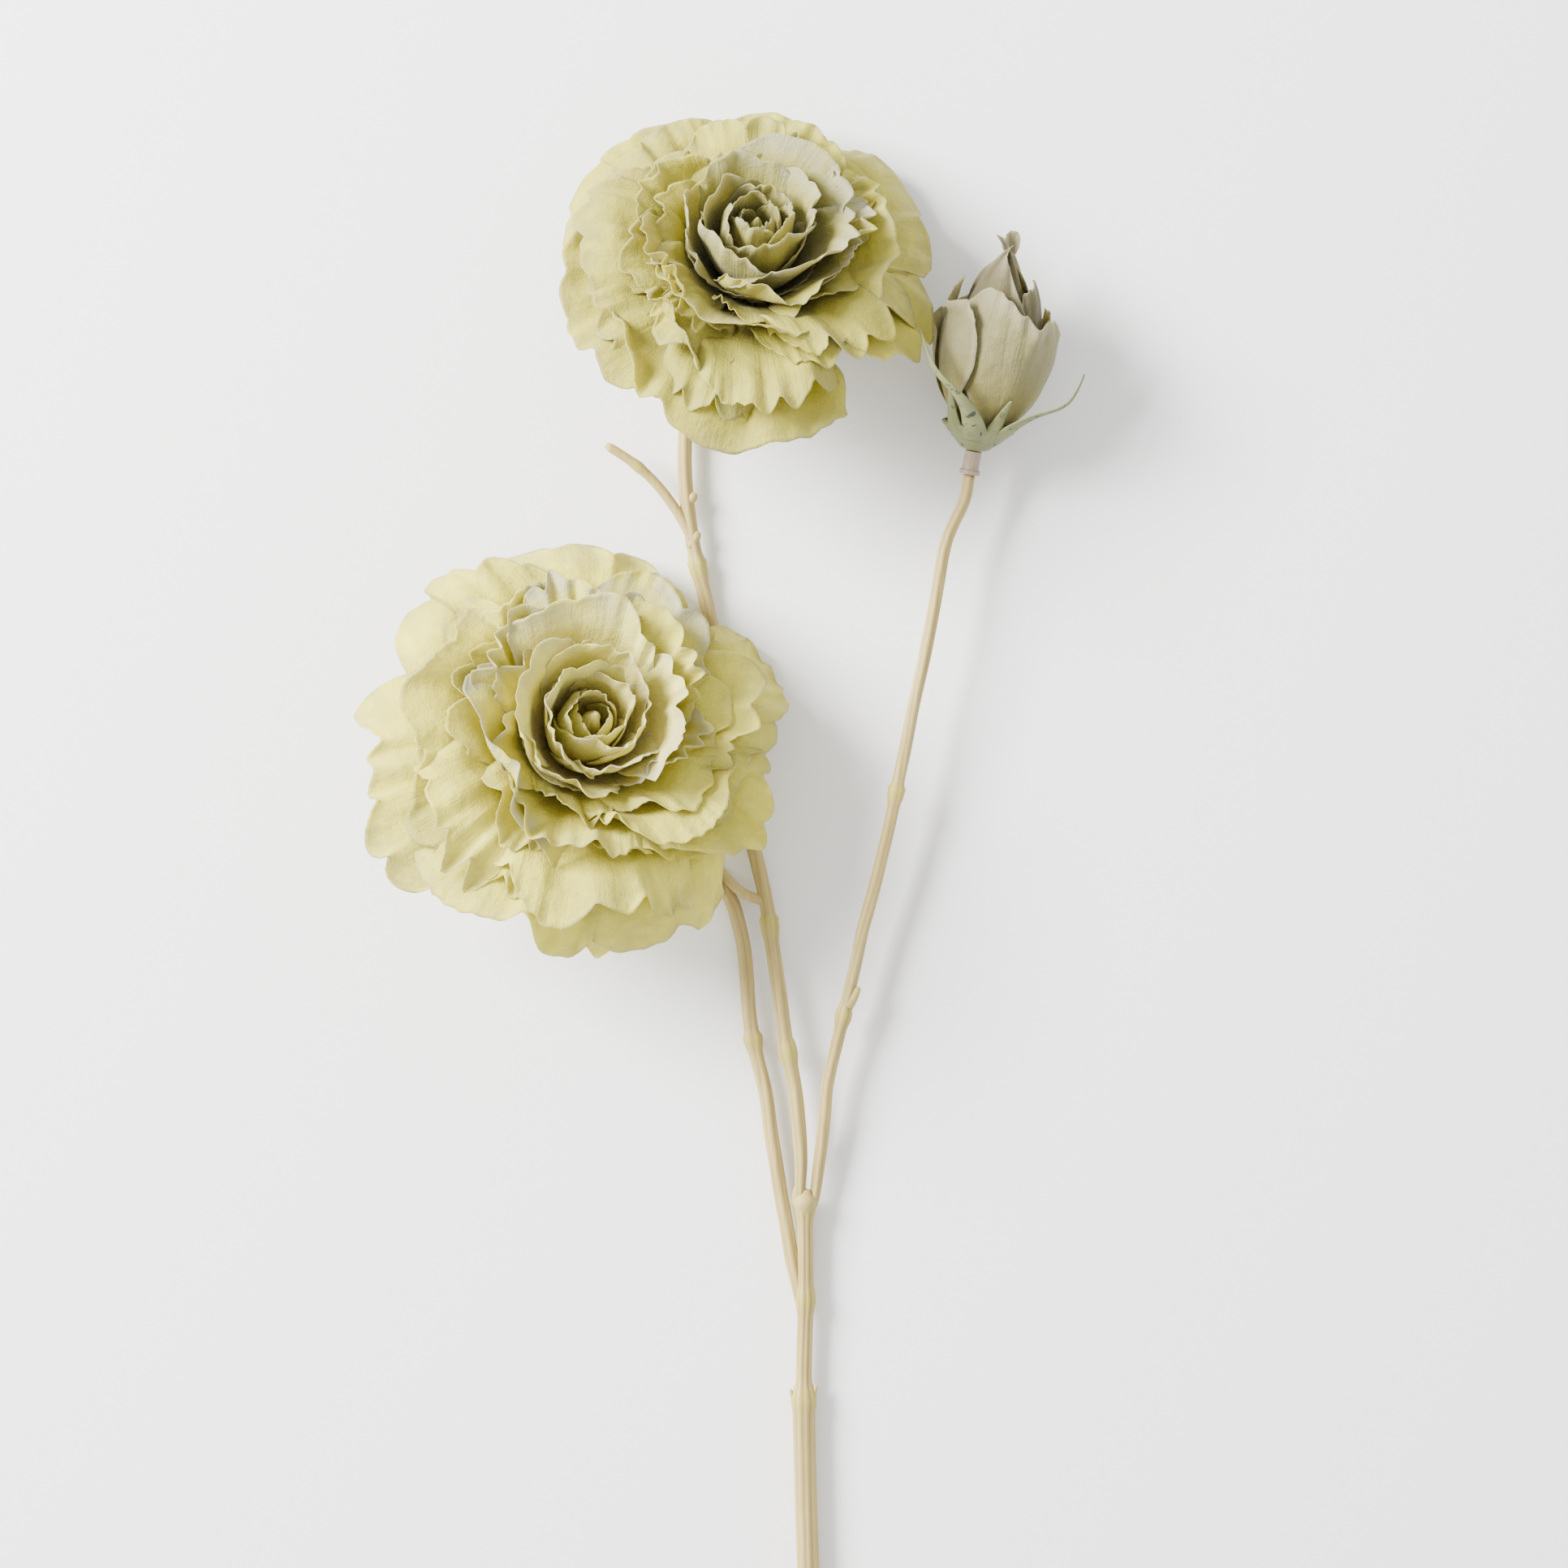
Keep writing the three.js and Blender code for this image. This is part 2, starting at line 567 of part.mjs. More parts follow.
const rightStations = branch(
  "right",
  [
    ...[
      [9.4, -97, 5.4],
      [10.6, -86, 6.4],
      [11.4, -78, 7.0],
      [16.6, -55, 8.6],
      [20.4, -38, 9.6],
      [25.4, -19, 10.6],
      [30.4, 4.4, 11.5],
      [33, 18, 12],
      [38, 41, 12.5],
      [42.2, 63, 12.6],
    ].map(point),
    budStemEnd.clone().addScaledVector(axisOf(BUD), -6),
    budStemEnd,
  ],
  BUD_BRANCH_RADIUS,
  [0.27, 0.57],
);

// The lower stem and the thinner trunk above its collar, up to the fork, three-lobed and with leaf joints.
const MAIN_JOINTS = [0.25, 0.54, 0.815, 0.905, 0.99];
const LOBE = 0.15;
const CUT_END = new THREE.Vector3(8.5, COLLAR.y - MAIN_LENGTH, COLLAR.z);
const mainPath = [
  CUT_END,
  CUT_END.clone().lerp(COLLAR, 0.5).add(new THREE.Vector3(1.4, 0, 0)),
  COLLAR,
  new THREE.Vector3(5.5, -134, 3.9),
];
function mainStem() {
  const stations = stationsAlong([...mainPath, FORK], 12);
  const radius = (angle, share) => {
    const plain = lerp(MAIN_RADIUS, TRUNK_RADIUS, smooth(0.805, 0.835, share)) + LOBE * Math.cos(3 * angle);
    return plain + COLLAR_RISE * MAIN_JOINTS.reduce((sum, at) => sum + joint(share, at, 0.014), 0);
  };
  let solid = solidOf(tube(stations, radius, 12));
  // Its wire runs up the middle and bends into the central branch at the fork.
  const path = [...mainPath, new THREE.Vector3(5.0, -113, 4.7), BRANCH_START.central.clone().sub(WIRE_TURN)];
  const line = stationsAlong(path, 12);
  const last = line.at(-1);
  const beyond = { ...last, centre: last.centre.clone().addScaledVector(last.tangent, 2) };
  const bore = tube([...openedAt(line, 2), beyond], () => BORE_RADIUS, WIRE_SIDES);
  add("stem_main", geometryOf(solid.subtract(solidOf(bore))), "stem");
  return openedAt(line, WIRE_STICKS_OUT);
}
const WIRE_TURN = new THREE.Vector3(0, 0.6, 0.1);
const wireInMain = mainStem();

// The main wire runs from the cut end to the upper bloom; the other two start inside their branches.
const wireThrough = (stations) => stations.slice(1, -2);
add("wire_central", tube([...wireInMain, ...wireThrough(centralStations)], () => WIRE_RADIUS, WIRE_SIDES), "wire");
add("wire_left", tube(wireThrough(leftStations), () => WIRE_RADIUS, WIRE_SIDES), "wire");
add("wire_right", tube(wireThrough(rightStations), () => WIRE_RADIUS, WIRE_SIDES), "wire");

// Stand the spray's box on the origin.
spray.updateMatrixWorld(true);
const box = new THREE.Box3().setFromObject(spray, true);
const centre = box.getCenter(new THREE.Vector3());
spray.position.set(-centre.x, -centre.y, -box.min.z);

export default spray;
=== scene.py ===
"""An artificial cut lisianthus spray on a pale table: two open ruffled blooms and a bud on a wired stem."""
import math

import bpy
import numpy as np
from bpy.props import FloatProperty, FloatVectorProperty, PointerProperty
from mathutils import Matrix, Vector


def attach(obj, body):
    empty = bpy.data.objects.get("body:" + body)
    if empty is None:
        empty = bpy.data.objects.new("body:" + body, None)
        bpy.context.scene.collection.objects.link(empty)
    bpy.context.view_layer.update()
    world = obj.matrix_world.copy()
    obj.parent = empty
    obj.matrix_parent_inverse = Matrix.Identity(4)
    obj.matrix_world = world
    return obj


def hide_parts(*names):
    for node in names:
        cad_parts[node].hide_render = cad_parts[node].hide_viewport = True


bl_info = {
    "name": "Artificial lisianthus spray",
    "version": (1, 0, 0),
    "blender": (4, 5, 0),
    "location": "View3D > Sidebar > Lisianthus",
    "description": "Builds the petals, calyces, stems and stage of a cut lisianthus spray",
    "category": "Add Mesh",
}

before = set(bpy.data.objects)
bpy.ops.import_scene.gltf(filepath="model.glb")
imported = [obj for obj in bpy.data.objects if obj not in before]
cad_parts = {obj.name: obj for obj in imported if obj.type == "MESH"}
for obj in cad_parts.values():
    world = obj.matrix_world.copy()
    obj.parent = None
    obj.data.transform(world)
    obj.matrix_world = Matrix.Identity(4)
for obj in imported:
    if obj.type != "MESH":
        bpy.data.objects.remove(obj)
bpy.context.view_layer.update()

MM = 0.001
# Shapes are drawn in millimetres from an origin of their own, which lies here in the frame.
DRAWING_ORIGIN = np.array([14.451, 109.274, 0.158])


# ---- Numbers ----
def lerp(a, b, t):
    return a + (b - a) * t


def smooth(start, end, x):
    t = np.clip((x - start) / (end - start), 0.0, 1.0)
    return t * t * (3 - 2 * t)


def bump(x, centre, width):
    return np.exp(-(((x - centre) / width) ** 2))


# ---- Meshes ----
def mesh_object(name, points, faces, attributes, material):
    """points are in drawing millimetres. attributes maps a name to one number for each point."""
    mesh = bpy.data.meshes.new(name)
    mesh.from_pydata(((points + DRAWING_ORIGIN) * MM).tolist(), [], faces)
    for key, values in attributes.items():
        layer = mesh.attributes.new(key, "FLOAT", "POINT")
        layer.data.foreach_set("value", np.asarray(values, dtype=np.float32))
    mesh.shade_smooth()
    mesh.materials.append(material)
    mesh.update()
    piece = bpy.data.objects.new(name, mesh)
    bpy.context.collection.objects.link(piece)
    return piece


def grid_faces(columns, rows):
    """Quads of a grid whose points run along its columns first."""
    at = np.arange((columns + 1) * (rows + 1)).reshape(rows + 1, columns + 1)
    corners = (at[:-1, :-1], at[:-1, 1:], at[1:, 1:], at[1:, :-1])
    return np.stack([c.ravel() for c in corners], axis=1)


def edge_loop(columns, rows):
    at = np.arange((columns + 1) * (rows + 1)).reshape(rows + 1, columns + 1)
    return np.concatenate([at[0, :-1], at[:-1, -1], at[-1, :0:-1], at[:0:-1, 0]])


class Shell:
    """Thin closed sheets collected into one mesh."""

    def __init__(self):
        self.points, self.faces, self.values, self.count = [], [], {}, 0

    def add(self, points, faces, **values):
        self.points.append(points)
        self.faces.extend((np.asarray(faces) + self.count).tolist())
        for key, value in values.items():
            self.values.setdefault(key, []).append(np.broadcast_to(value, len(points)))
        self.count += len(points)

    def sheet(self, middle, thickness, **values):
        """middle is a (rows + 1, columns + 1, 3) grid; thickness may vary over it."""
        rows, columns = middle.shape[0] - 1, middle.shape[1] - 1
        across, along = np.gradient(middle, axis=1), np.gradient(middle, axis=0)
        normal = np.cross(across, along)
        normal /= np.maximum(np.linalg.norm(normal, axis=2, keepdims=True), 1e-9)
        offset = normal * (np.broadcast_to(thickness, middle.shape[:2])[..., None] / 2)
        front, back = (middle + offset).reshape(-1, 3), (middle - offset).reshape(-1, 3)
        size = len(front)
        faces = grid_faces(columns, rows)
        loop = edge_loop(columns, rows)
        after = np.roll(loop, -1)
        rim = np.stack([loop, loop + size, after + size, after], axis=1)
        both = {key: np.tile(np.broadcast_to(v, middle.shape[:2]).ravel(), 2) for key, v in values.items()}
        both["inside"] = np.repeat([1.0, 0.0], size)
        self.add(np.vstack([front, back]), np.vstack([faces, faces[:, ::-1] + size, rim]), **both)

    def build(self, name, material):
        values = {key: np.concatenate(parts) for key, parts in self.values.items()}
        return mesh_object(name, np.vstack(self.points), self.faces, values, material)


def finish_piece(piece, slot, *nodes):
    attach(piece, "root")
    if nodes:
        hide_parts(*nodes)
    return piece


# ---- Shader maths ----
class Value:
    """A number that varies over a surface: a node's output that can be added, multiplied and so on."""

    def __init__(self, graph, socket):
        self.graph, self.socket = graph, socket

    def math(self, operation, first, second, clamp=False):
        settings = {"operation": operation, "use_clamp": clamp}
        made = self.graph.node("ShaderNodeMath", settings, {0: first, 1: second})
        return Value(self.graph, made.outputs[0])

    def __add__(self, other):
        return self.math("ADD", self, other)

    def __sub__(self, other):
        return self.math("SUBTRACT", self, other)

    def __rsub__(self, other):
        return self.math("SUBTRACT", other, self)

    def __mul__(self, other):
        return self.math("MULTIPLY", self, other)

    def __pow__(self, other):
        return self.math("POWER", self, other)

    __radd__ = __add__
    __rmul__ = __mul__

    def smooth(self, start, end):
        """0 below start and 1 above end, with a soft step between; start may be above end."""
        low, high, first, last = (start, end, 0.0, 1.0) if start < end else (end, start, 1.0, 0.0)
        inputs = {"Value": self, "From Min": low, "From Max": high, "To Min": first, "To Max": last}
        node = self.graph.node("ShaderNodeMapRange", {"interpolation_type": "SMOOTHSTEP"}, inputs)
        return Value(self.graph, node.outputs[0])


class Graph:
    """A material's node tree."""

    def __init__(self, name):
        self.material = bpy.data.materials.new(name)
        self.material.use_nodes = True
        self.tree = self.material.node_tree
        self.tree.nodes.clear()

    def node(self, kind, settings=None, inputs=None):
        made = self.tree.nodes.new(kind)
        for key, value in (settings or {}).items():
            setattr(made, key, value)
        for key, value in (inputs or {}).items():
            if isinstance(value, Value):
                value = value.socket
            if isinstance(value, bpy.types.NodeSocket):
                self.tree.links.new(value, made.inputs[key])
            else:
                made.inputs[key].default_value = value
        return made

    def attribute(self, name):
        return Value(self, self.node("ShaderNodeAttribute", {"attribute_name": name}).outputs["Fac"])

    def place(self, scale=(1, 1, 1)):
        where = self.node("ShaderNodeTexCoord").outputs["Object"]
        return self.node("ShaderNodeVectorMath", {"operation": "MULTIPLY"}, {0: where, 1: scale}).outputs[0]

    def vector(self, x, y, z):
        return self.node("ShaderNodeCombineXYZ", None, {0: x, 1: y, 2: z}).outputs[0]

    def noise(self, where, scale, detail=2.0, roughness=0.5):
        inputs = {"Vector": where, "Scale": scale, "Detail": detail, "Roughness": roughness}
        return Value(self, self.node("ShaderNodeTexNoise", None, inputs).outputs[0])

    def mix(self, factor, a, b, blend="MIX"):
        """Colours a and b, which are (r, g, b) or links."""
        settings = {"data_type": "RGBA", "blend_type": blend}
        a, b = ((*c, 1.0) if not isinstance(c, bpy.types.NodeSocket) else c for c in (a, b))
        return self.node("ShaderNodeMix", settings, {0: factor, 6: a, 7: b}).outputs[2]

    def surface(self, colour, roughness, height=None, distance=0.0003, strength=0.5, **fixed):
        inputs = {"Base Color": colour, "Roughness": roughness}
        if height is not None:
            bumps = {"Height": height, "Distance": distance, "Strength": strength}
            tilt = self.node("ShaderNodeBump", None, bumps)
            inputs["Normal"] = tilt.outputs[0]
        inputs.update({key.replace("_", " "): value for key, value in fixed.items()})
        shader = self.node("ShaderNodeBsdfPrincipled", None, inputs)
        self.node("ShaderNodeOutputMaterial", None, {"Surface": shader.outputs[0]})
        return self.material


# ---- Settings ----
def colour_property(name, description, default):
    return FloatVectorProperty(name=name, description=description, subtype="COLOR", size=3, default=default)


def length_property(name, description, default):
    return FloatProperty(name=name, description=description, default=default, unit="LENGTH", precision=5)


class LisianthusColours(bpy.types.PropertyGroup):
    pale: colour_property("Petal", "The petals' main colour", (0.53, 0.475, 0.07))
    # The petals' own foot colour, also used as painted shade deep in the bloom.
    deep: colour_property("Petal foot", "The petals towards their feet", (0.26, 0.21, 0.016))
    rim: colour_property("Petal rim", "The dry rims of the petals", (0.37, 0.35, 0.25))
    heart: colour_property("Heart", "The innermost petals", (0.4, 0.368, 0.095))
    heart_deep: colour_property("Heart foot", "The innermost petals towards their feet", (0.25, 0.2, 0.065))
    bud: colour_property("Bud petal", "The bud's petals", (0.19, 0.173, 0.082))
    bud_core: colour_property("Bud core", "The bud's rolled inner petals", (0.09, 0.076, 0.038))
    stem: colour_property("Stem", "The moulded stem", (0.45, 0.345, 0.115))
    # Its darker copy is also painted into the stems' grooves as shade.
    stem_stain_and_groove_shade: colour_property("Stem stain", "Brown-yellow patches on the stem", (0.34, 0.235, 0.075))
    stem_joint: colour_property("Stem joint", "The yellowish joints of the stem", (0.46, 0.4, 0.06))
    calyx: colour_property("Calyx", "The calyces and sepals", (0.15, 0.16, 0.058))
    speck: colour_property("Speck", "Dark specks on the calyces", (0.02, 0.025, 0.012))
    sleeve: colour_property("Sleeve", "The bud's plastic sleeve", (0.3, 0.225, 0.15))
    wire: colour_property("Wire", "The steel wire", (0.25, 0.25, 0.23))
    floor: colour_property("Floor", "The table under the spray", (0.94, 0.94, 0.925))


class LisianthusSizes(bpy.types.PropertyGroup):
    petal: length_property("Petal thickness", "Thickness of a petal away from its rim", 0.0004)
    ruffle: FloatProperty(
        name="Ruffle", description="How strongly the petals' rims wave", default=1.0, min=0.0, max=1.5
    )
    sepal: length_property("Sepal thickness", "Thickness of a sepal", 0.0009)
    rib: length_property("Rib depth", "Depth of the ribs along the stems", 0.00012)


# ---- Flowers ----
# Petals lie on bowls that open one inside another: layer 0 is a flower's closed centre and layer 1 its
# outermost bowl. A profile starts at its foot and turns evenly from one angle off the flower's axis to
# another.
BLOOM_BOWLS = {"radius": (1.5, 7), "height": (2, -3), "start": (28, 50), "end": (-30, 120), "opening": 1.35}
BUD_BOWLS = {"radius": (1.2, 3.6), "height": (2, -0.5), "start": (24, 46), "end": (-48, -18), "opening": 1.0}
HEART_HEIGHT = 30
DENTS = 6
CLAW_SHARE, SHOULDER, WIDEST_AT = 0.26, 0.24, 0.6


def on_bowl(bowls, lengths, layer, along, azimuth):
    """Points in the flower's own frame; all three numbers may be arrays, with the azimuth in degrees."""
    start = np.radians(lerp(*bowls["start"], layer))
    end = np.radians(lerp(*bowls["end"], np.maximum(layer, 0) ** bowls["opening"]))
    turn = (end - start) * along
    chord = lerp(*lengths, layer) * along * np.sinc(turn / (2 * np.pi))
    radius = lerp(*bowls["radius"], layer) + chord * np.sin(start + turn / 2)
    height = lerp(*bowls["height"], layer) + chord * np.cos(start + turn / 2)
    azimuth = np.radians(azimuth)
    return np.stack([radius * np.cos(azimuth), radius * np.sin(azimuth), height + 0 * azimuth], axis=-1)


class Flower:
    """A flower's own frame: its foot, and its axis, which leans from upright towards a compass angle."""

    def __init__(self, foot, lean, towards):
        flat = math.sin(math.radians(lean))
        angle = math.radians(towards)
        self.foot = np.array(foot)
        self.axis = np.array([flat * math.cos(angle), flat * math.sin(angle), math.cos(math.radians(lean))])
        turn = Vector((0, 0, 1)).rotation_difference(Vector(self.axis)).to_matrix()
        self.turn = np.array(turn)

    def place(self, points):
        return points @ self.turn.T + self.foot

    def under(self, height):
        return self.foot + self.axis * height


def shared_wave(azimuth, along, layer, phase):
    """Slow waves that follow the azimuth, so that petals that lie on one another wave together."""
    angle = np.radians(azimuth)
    slow = np.sin(3 * angle + phase) + 0.7 * np.sin(5 * angle + 2.3 * phase + np.sin(2 * angle))
    middle = np.sin(9 * angle + 1.7 * phase + 1.5 * np.sin(2 * angle + phase))
    return layer * (0.016 * slow * along**2 + 0.012 * middle * along**3)


def petal_grid(bowls, lengths, petal, seed, strength, columns=56, rows=40):
    """One petal's middle surface and its attributes."""
    random = np.random.default_rng(seed)
    wider, turned_by, lopsided, rolled, patchy, deeper = random.uniform(-1, 1, 6) * petal.get("jitter", 1.0)
    across = np.linspace(-1, 1, columns + 1)[None, :]
    along = np.linspace(0, 1, rows + 1)[:, None] ** 0.85
    layer = petal["layer"]
    width = lerp(CLAW_SHARE, 1, smooth(0, WIDEST_AT, along)) * (1 - 0.12 * smooth(0.7, 1, along))
    around = petal["azimuth"] + 6 * turned_by + across * width * petal["half_width"] * (1 + 0.2 * wider)

    # The rim's lobes: round, with a sharp notch between one and the next.
    count = random.uniform(1.3, 2.3) * petal.get("lobes", 1.0)
    where = count * (across + 0.25 * np.sin(2.2 * across + 3 * patchy)) + random.uniform(0, 1)
    lobes = 1 - np.abs(np.sin(np.pi * where)) ** 0.6
    small = np.abs(np.sin(np.pi * 2.7 * where + 1.3)) * np.abs(np.sin(2.1 * across + 4 * patchy))
    shoulder = petal.get("shoulder", SHOULDER) * (1 + 0.35 * deeper) * np.abs(across - 0.2 * lopsided) ** 2.6
    depth = petal.get("notch", 0.034)
    notches = depth * lobes + 0.3 * depth * small
    reach = 1 - shoulder * smooth(0.3, 1, along) - notches * smooth(0.7, 1, along)
    reach = along * petal["length"] * (1 + 0.03 * rolled) * reach

    # Dents and folds of its own, the curl of its rim and the crinkles along it.
    own = 0 * along * across
    for _ in range(DENTS):
        at, size, wide = random.uniform(-0.8, 0.8), random.uniform(-1, 1), random.uniform(0.09, 0.26)
        own = own + size * bump(across - 0.25 * along * size, at, wide) * smooth(0.15, 0.9, along)
    own = own * (1 - across**2) - 0.5 * along**2 * (1 - 2 * across**2) - 0.4 * lobes * along**4
    own = own + 0.8 * np.sin(np.pi * (1.3 + 0.5 * lopsided) * (across + deeper)) * smooth(0.35, 1, along) ** 2
    dented = np.sin(7 * across + 6 * along + 5 * patchy) * np.sin(9 * along - 4 * across + 4 * deeper)
    own = own + 0.3 * dented * smooth(0.2, 0.7, along)
    pleats = np.sin(2 * np.pi * (2.6 * across + 0.55 * np.sin(3.4 * across + 3 * patchy)) + 6 * deeper)
    pleats = pleats * (0.3 + np.sin(2.3 * across + 5 * patchy) ** 2) * smooth(0.45, 1, along) ** 1.6
    crinkle = np.sin(2 * np.pi * (6.5 * across + np.sin(3 * across + 5 * rolled)) + 4 * wider)
    crinkle = crinkle * (0.1 + np.sin(2.9 * across + 4 * lopsided) ** 2) * smooth(0.75, 1, along) ** 2
    roll = petal.get("roll", 0.035) * (0.8 + 1.3 * rolled + 0.7 * np.sin(3 * across + 2 * patchy))
    relief = shared_wave(around, along, layer, petal.get("phase", 0.9)) + petal.get("fold", 0.024) * own
    relief = relief + petal.get("crinkle", 0.006) * crinkle + petal.get("pleat", 0.013) * pleats
    relief = relief + roll * (1.1 - 0.6 * lobes) * smooth(0.72, 1, along) ** 2
    layers = np.maximum(layer + petal["twist"] * across + strength * relief, 0.002)
    points = on_bowl(bowls, lengths, layers, reach, around)
    values = {
        "along": along + 0 * across,
        "across": across + 0 * along,
        "edge": np.minimum(1 - along, (1 - np.abs(across)) * 0.9 + 0 * along),
        "tint": random.uniform(0, 1),
        "depth": np.clip(layer, 0, 1.2),
        "dry": petal.get("dry", 0.15),
    }
    return points, values


LOWEST, SETTLED = 0.8, 3.0


def settled(points):
    """Cloth that would sink into the table bends to lie on it."""
    height = points[..., 2] + DRAWING_ORIGIN[2]
    room = SETTLED - LOWEST
    lain = LOWEST + room * np.exp(np.minimum(height - SETTLED, 0) / room)
    points = points.copy()
    points[..., 2] = np.where(height < SETTLED, lain, height) - DRAWING_ORIGIN[2]
    return points


def add_petal(shell, flower, thickness, points, values):
    taper = lerp(0.35, 1.0, smooth(0, 0.08, values["edge"]))
    taper = taper * lerp(1.25, 1.0, smooth(0, 0.4, values["along"]))
    shell.sheet(settled(flower.place(points)), thickness * taper, **values)


# ---- Materials ----
def petal_material(name, colours, pale, deep, deep_share=1.0, rim_share=1.0):
    g = Graph(name)
    pale, deep = np.array(pale), np.array(deep)
    along, across, edge = g.attribute("along"), g.attribute("across"), g.attribute("edge")
    tint, depth = g.attribute("tint"), g.attribute("depth")
    veins = g.noise(g.vector(across * 22, along * 1.5, tint * 9), 1.0, 3.0, 0.6)
    cloud = g.noise(g.place(), 75.0, 3.0, 0.55)
    crumple = g.noise(g.place(), 210.0, 3.0, 0.5)
    weave = g.noise(g.place(), 2600.0, 1.0, 0.5)
    # Towards each petal's foot the colour turns to the deep one: partly the petal's own greener foot, partly
    # painted shade deep in the bloom, stronger on the inner petals.
    foot = along.smooth(0.82, 0.2) * (1.25 - 0.45 * depth) * deep_share + (cloud - 0.5) * 0.4
    colour = g.mix(foot.smooth(0.0, 1.0), tuple(pale), tuple(deep))
    colour = g.mix(cloud.smooth(0.4, 0.72) * 0.4 + tint * 0.3, colour, tuple(lerp(pale, deep, 0.45)))
    colour = g.mix(veins.smooth(0.5, 0.8) * 0.3, colour, tuple(lerp(pale, deep, 0.6)))
    # Painted highlight: a lighter copy of the petal colour on the crumples' ridges and towards the rims, with
    # some lighter patches at random.
    light = (crumple.smooth(0.5, 0.8) * 0.5 + cloud.smooth(0.55, 0.35) * 0.4) * along.smooth(0.35, 0.85)
    colour = g.mix(light, colour, tuple(np.minimum(pale * 1.35, 1)))
    dry = g.attribute("dry") * edge.smooth(0.18, 0.0) * cloud.smooth(0.36, 0.56)
    colour = g.mix(dry * rim_share, colour, tuple(colours.rim))
    line = edge.smooth(0.025, 0.0) * cloud.smooth(0.3, 0.6) * 0.6
    colour = g.mix(line, colour, tuple(lerp(deep, np.array(colours.rim), 0.4)))
    height = veins * 0.35 + crumple + weave * 0.2
    fixed = {"Subsurface_Weight": 0.16, "Subsurface_Radius": (0.004, 0.0035, 0.0012), "Subsurface_Scale": 0.8,
             "Specular_IOR_Level": 0.22, "Sheen_Weight": 0.08}
    return g.surface(colour, 0.62 + 0.15 * (1 - veins), height, 0.0018, 0.5, **fixed)


def stem_material(colours):
    g = Graph("stem")
    mottle = g.noise(g.place((1, 0.35, 1)), 160.0, 4.0, 0.6)
    streak = g.noise(g.place((1, 0.06, 1)), 900.0, 2.0, 0.5)
    joint = g.attribute("joint")
    colour = g.mix(mottle.smooth(0.42, 0.72) * 0.6, tuple(colours.stem), tuple(colours.stem_stain_and_groove_shade))
    pale = tuple(np.minimum(np.array(colours.stem) * 1.3, 1))
    colour = g.mix(streak.smooth(0.5, 0.8) * 0.6, colour, pale)
    colour = g.mix(joint * 0.8, colour, tuple(colours.stem_joint))
    # Painted shade: the grooves between the ribs are darkened with a darker copy of the stain colour.
    groove = g.attribute("groove")
    colour = g.mix(groove * 0.5, colour, tuple(np.array(colours.stem_stain_and_groove_shade) * 0.6))
    return g.surface(colour, 0.5 + 0.2 * mottle, streak + mottle * 0.6, 0.0003, 0.45,
                     Subsurface_Weight=0.1, Subsurface_Radius=(0.003, 0.002, 0.001), Subsurface_Scale=0.5)


def calyx_material(colours):
    g = Graph("calyx")
    cloud = g.noise(g.place(), 150.0, 3.0, 0.55)
    specks = g.noise(g.place(), 520.0, 2.0, 0.5)
    light = tuple(np.minimum(np.array(colours.calyx) * 1.35, 1))
    colour = g.mix(cloud.smooth(0.35, 0.7), tuple(colours.calyx), light)
    blots = g.noise(g.place(), 240.0, 1.0, 0.5)
    mask = (specks.smooth(0.64, 0.69) + blots.smooth(0.69, 0.72)) * g.attribute("joint").smooth(0.1, 0.6)
    colour = g.mix(mask, colour, tuple(colours.speck))
    height = cloud * 0.6 - mask * 1.5
    return g.surface(colour, 0.5 + 0.15 * cloud, height, 0.0004, 0.5, Subsurface_Weight=0.08,
                     Subsurface_Radius=(0.002, 0.002, 0.001), Subsurface_Scale=0.5)


def plain_material(name, colour, roughness, metallic=0.0, wear=0.15):
    g = Graph(name)
    cloud = g.noise(g.place(), 300.0, 3.0, 0.5)
    darker = tuple(np.array(colour) * (1 - wear * 2))
    shade = g.mix(cloud.smooth(0.35, 0.75), tuple(colour), darker)
    return g.surface(shade, roughness + 0.1 * cloud, cloud, 0.0002, 0.3, Metallic=metallic)


# ---- Blooms ----
BLOOM_A = {
    "foot": (-9.5, 128.5, 20.6), "lean": 30, "towards": 78, "reach": 46,
    "tone": 0.72, "heart_tone": 0.68, "gap_tone": 0.8,
}
BLOOM_B = {
    "foot": (-54.3, 9.5, 21.5), "lean": 23, "towards": 48, "reach": 54,
    "tone": 1.06, "heart_tone": 1.4, "gap_tone": 3.0,
}
# The petals wind outwards round the centre in one spiral, each opening a little wider than the one before.
PETAL_GROUPS = {"inner": 6, "middle": 7, "outer": 7}
PETAL_COUNT, PETAL_STEP, PETAL_TWIST = 20, 54.5, 0.055
PETAL_LAYERS, PETAL_HALF_WIDTHS = (0.51, 0.965), (44, 38)
# Each open petal but the first few is doubled by a smaller frill before it.
FRILLS_FROM = 3
FRILL = {
    "turn": 9, "inwards": 0.06, "width": 0.8, "twist": 0.035,
    "length": 0.88, "pleat": 0.009, "lobes": 0.8,
}
BLOOM_A_PETALS = {
    "first": 294,
    "phase": 0.9,
    "own": {0: {"half_width": 58}, 1: {"dry": 0.9}, 2: {"dry": 0.7}, 5: {"roll": -0.03},
            6: {"half_width": 52, "roll": 0.0}, 7: {"roll": 0.1}, 12: {"roll": 0.1},
            13: {"half_width": 46}, 19: {"half_width": 47}},
    "lengths": (0.98, 0.96, 0.94, 0.98, 0.96, 1, 0.97, 0.95, 0.98, 1,
                1, 1, 0.97, 1.04, 1.0, 1.02, 0.97, 1.05, 1.06, 1.08),
}
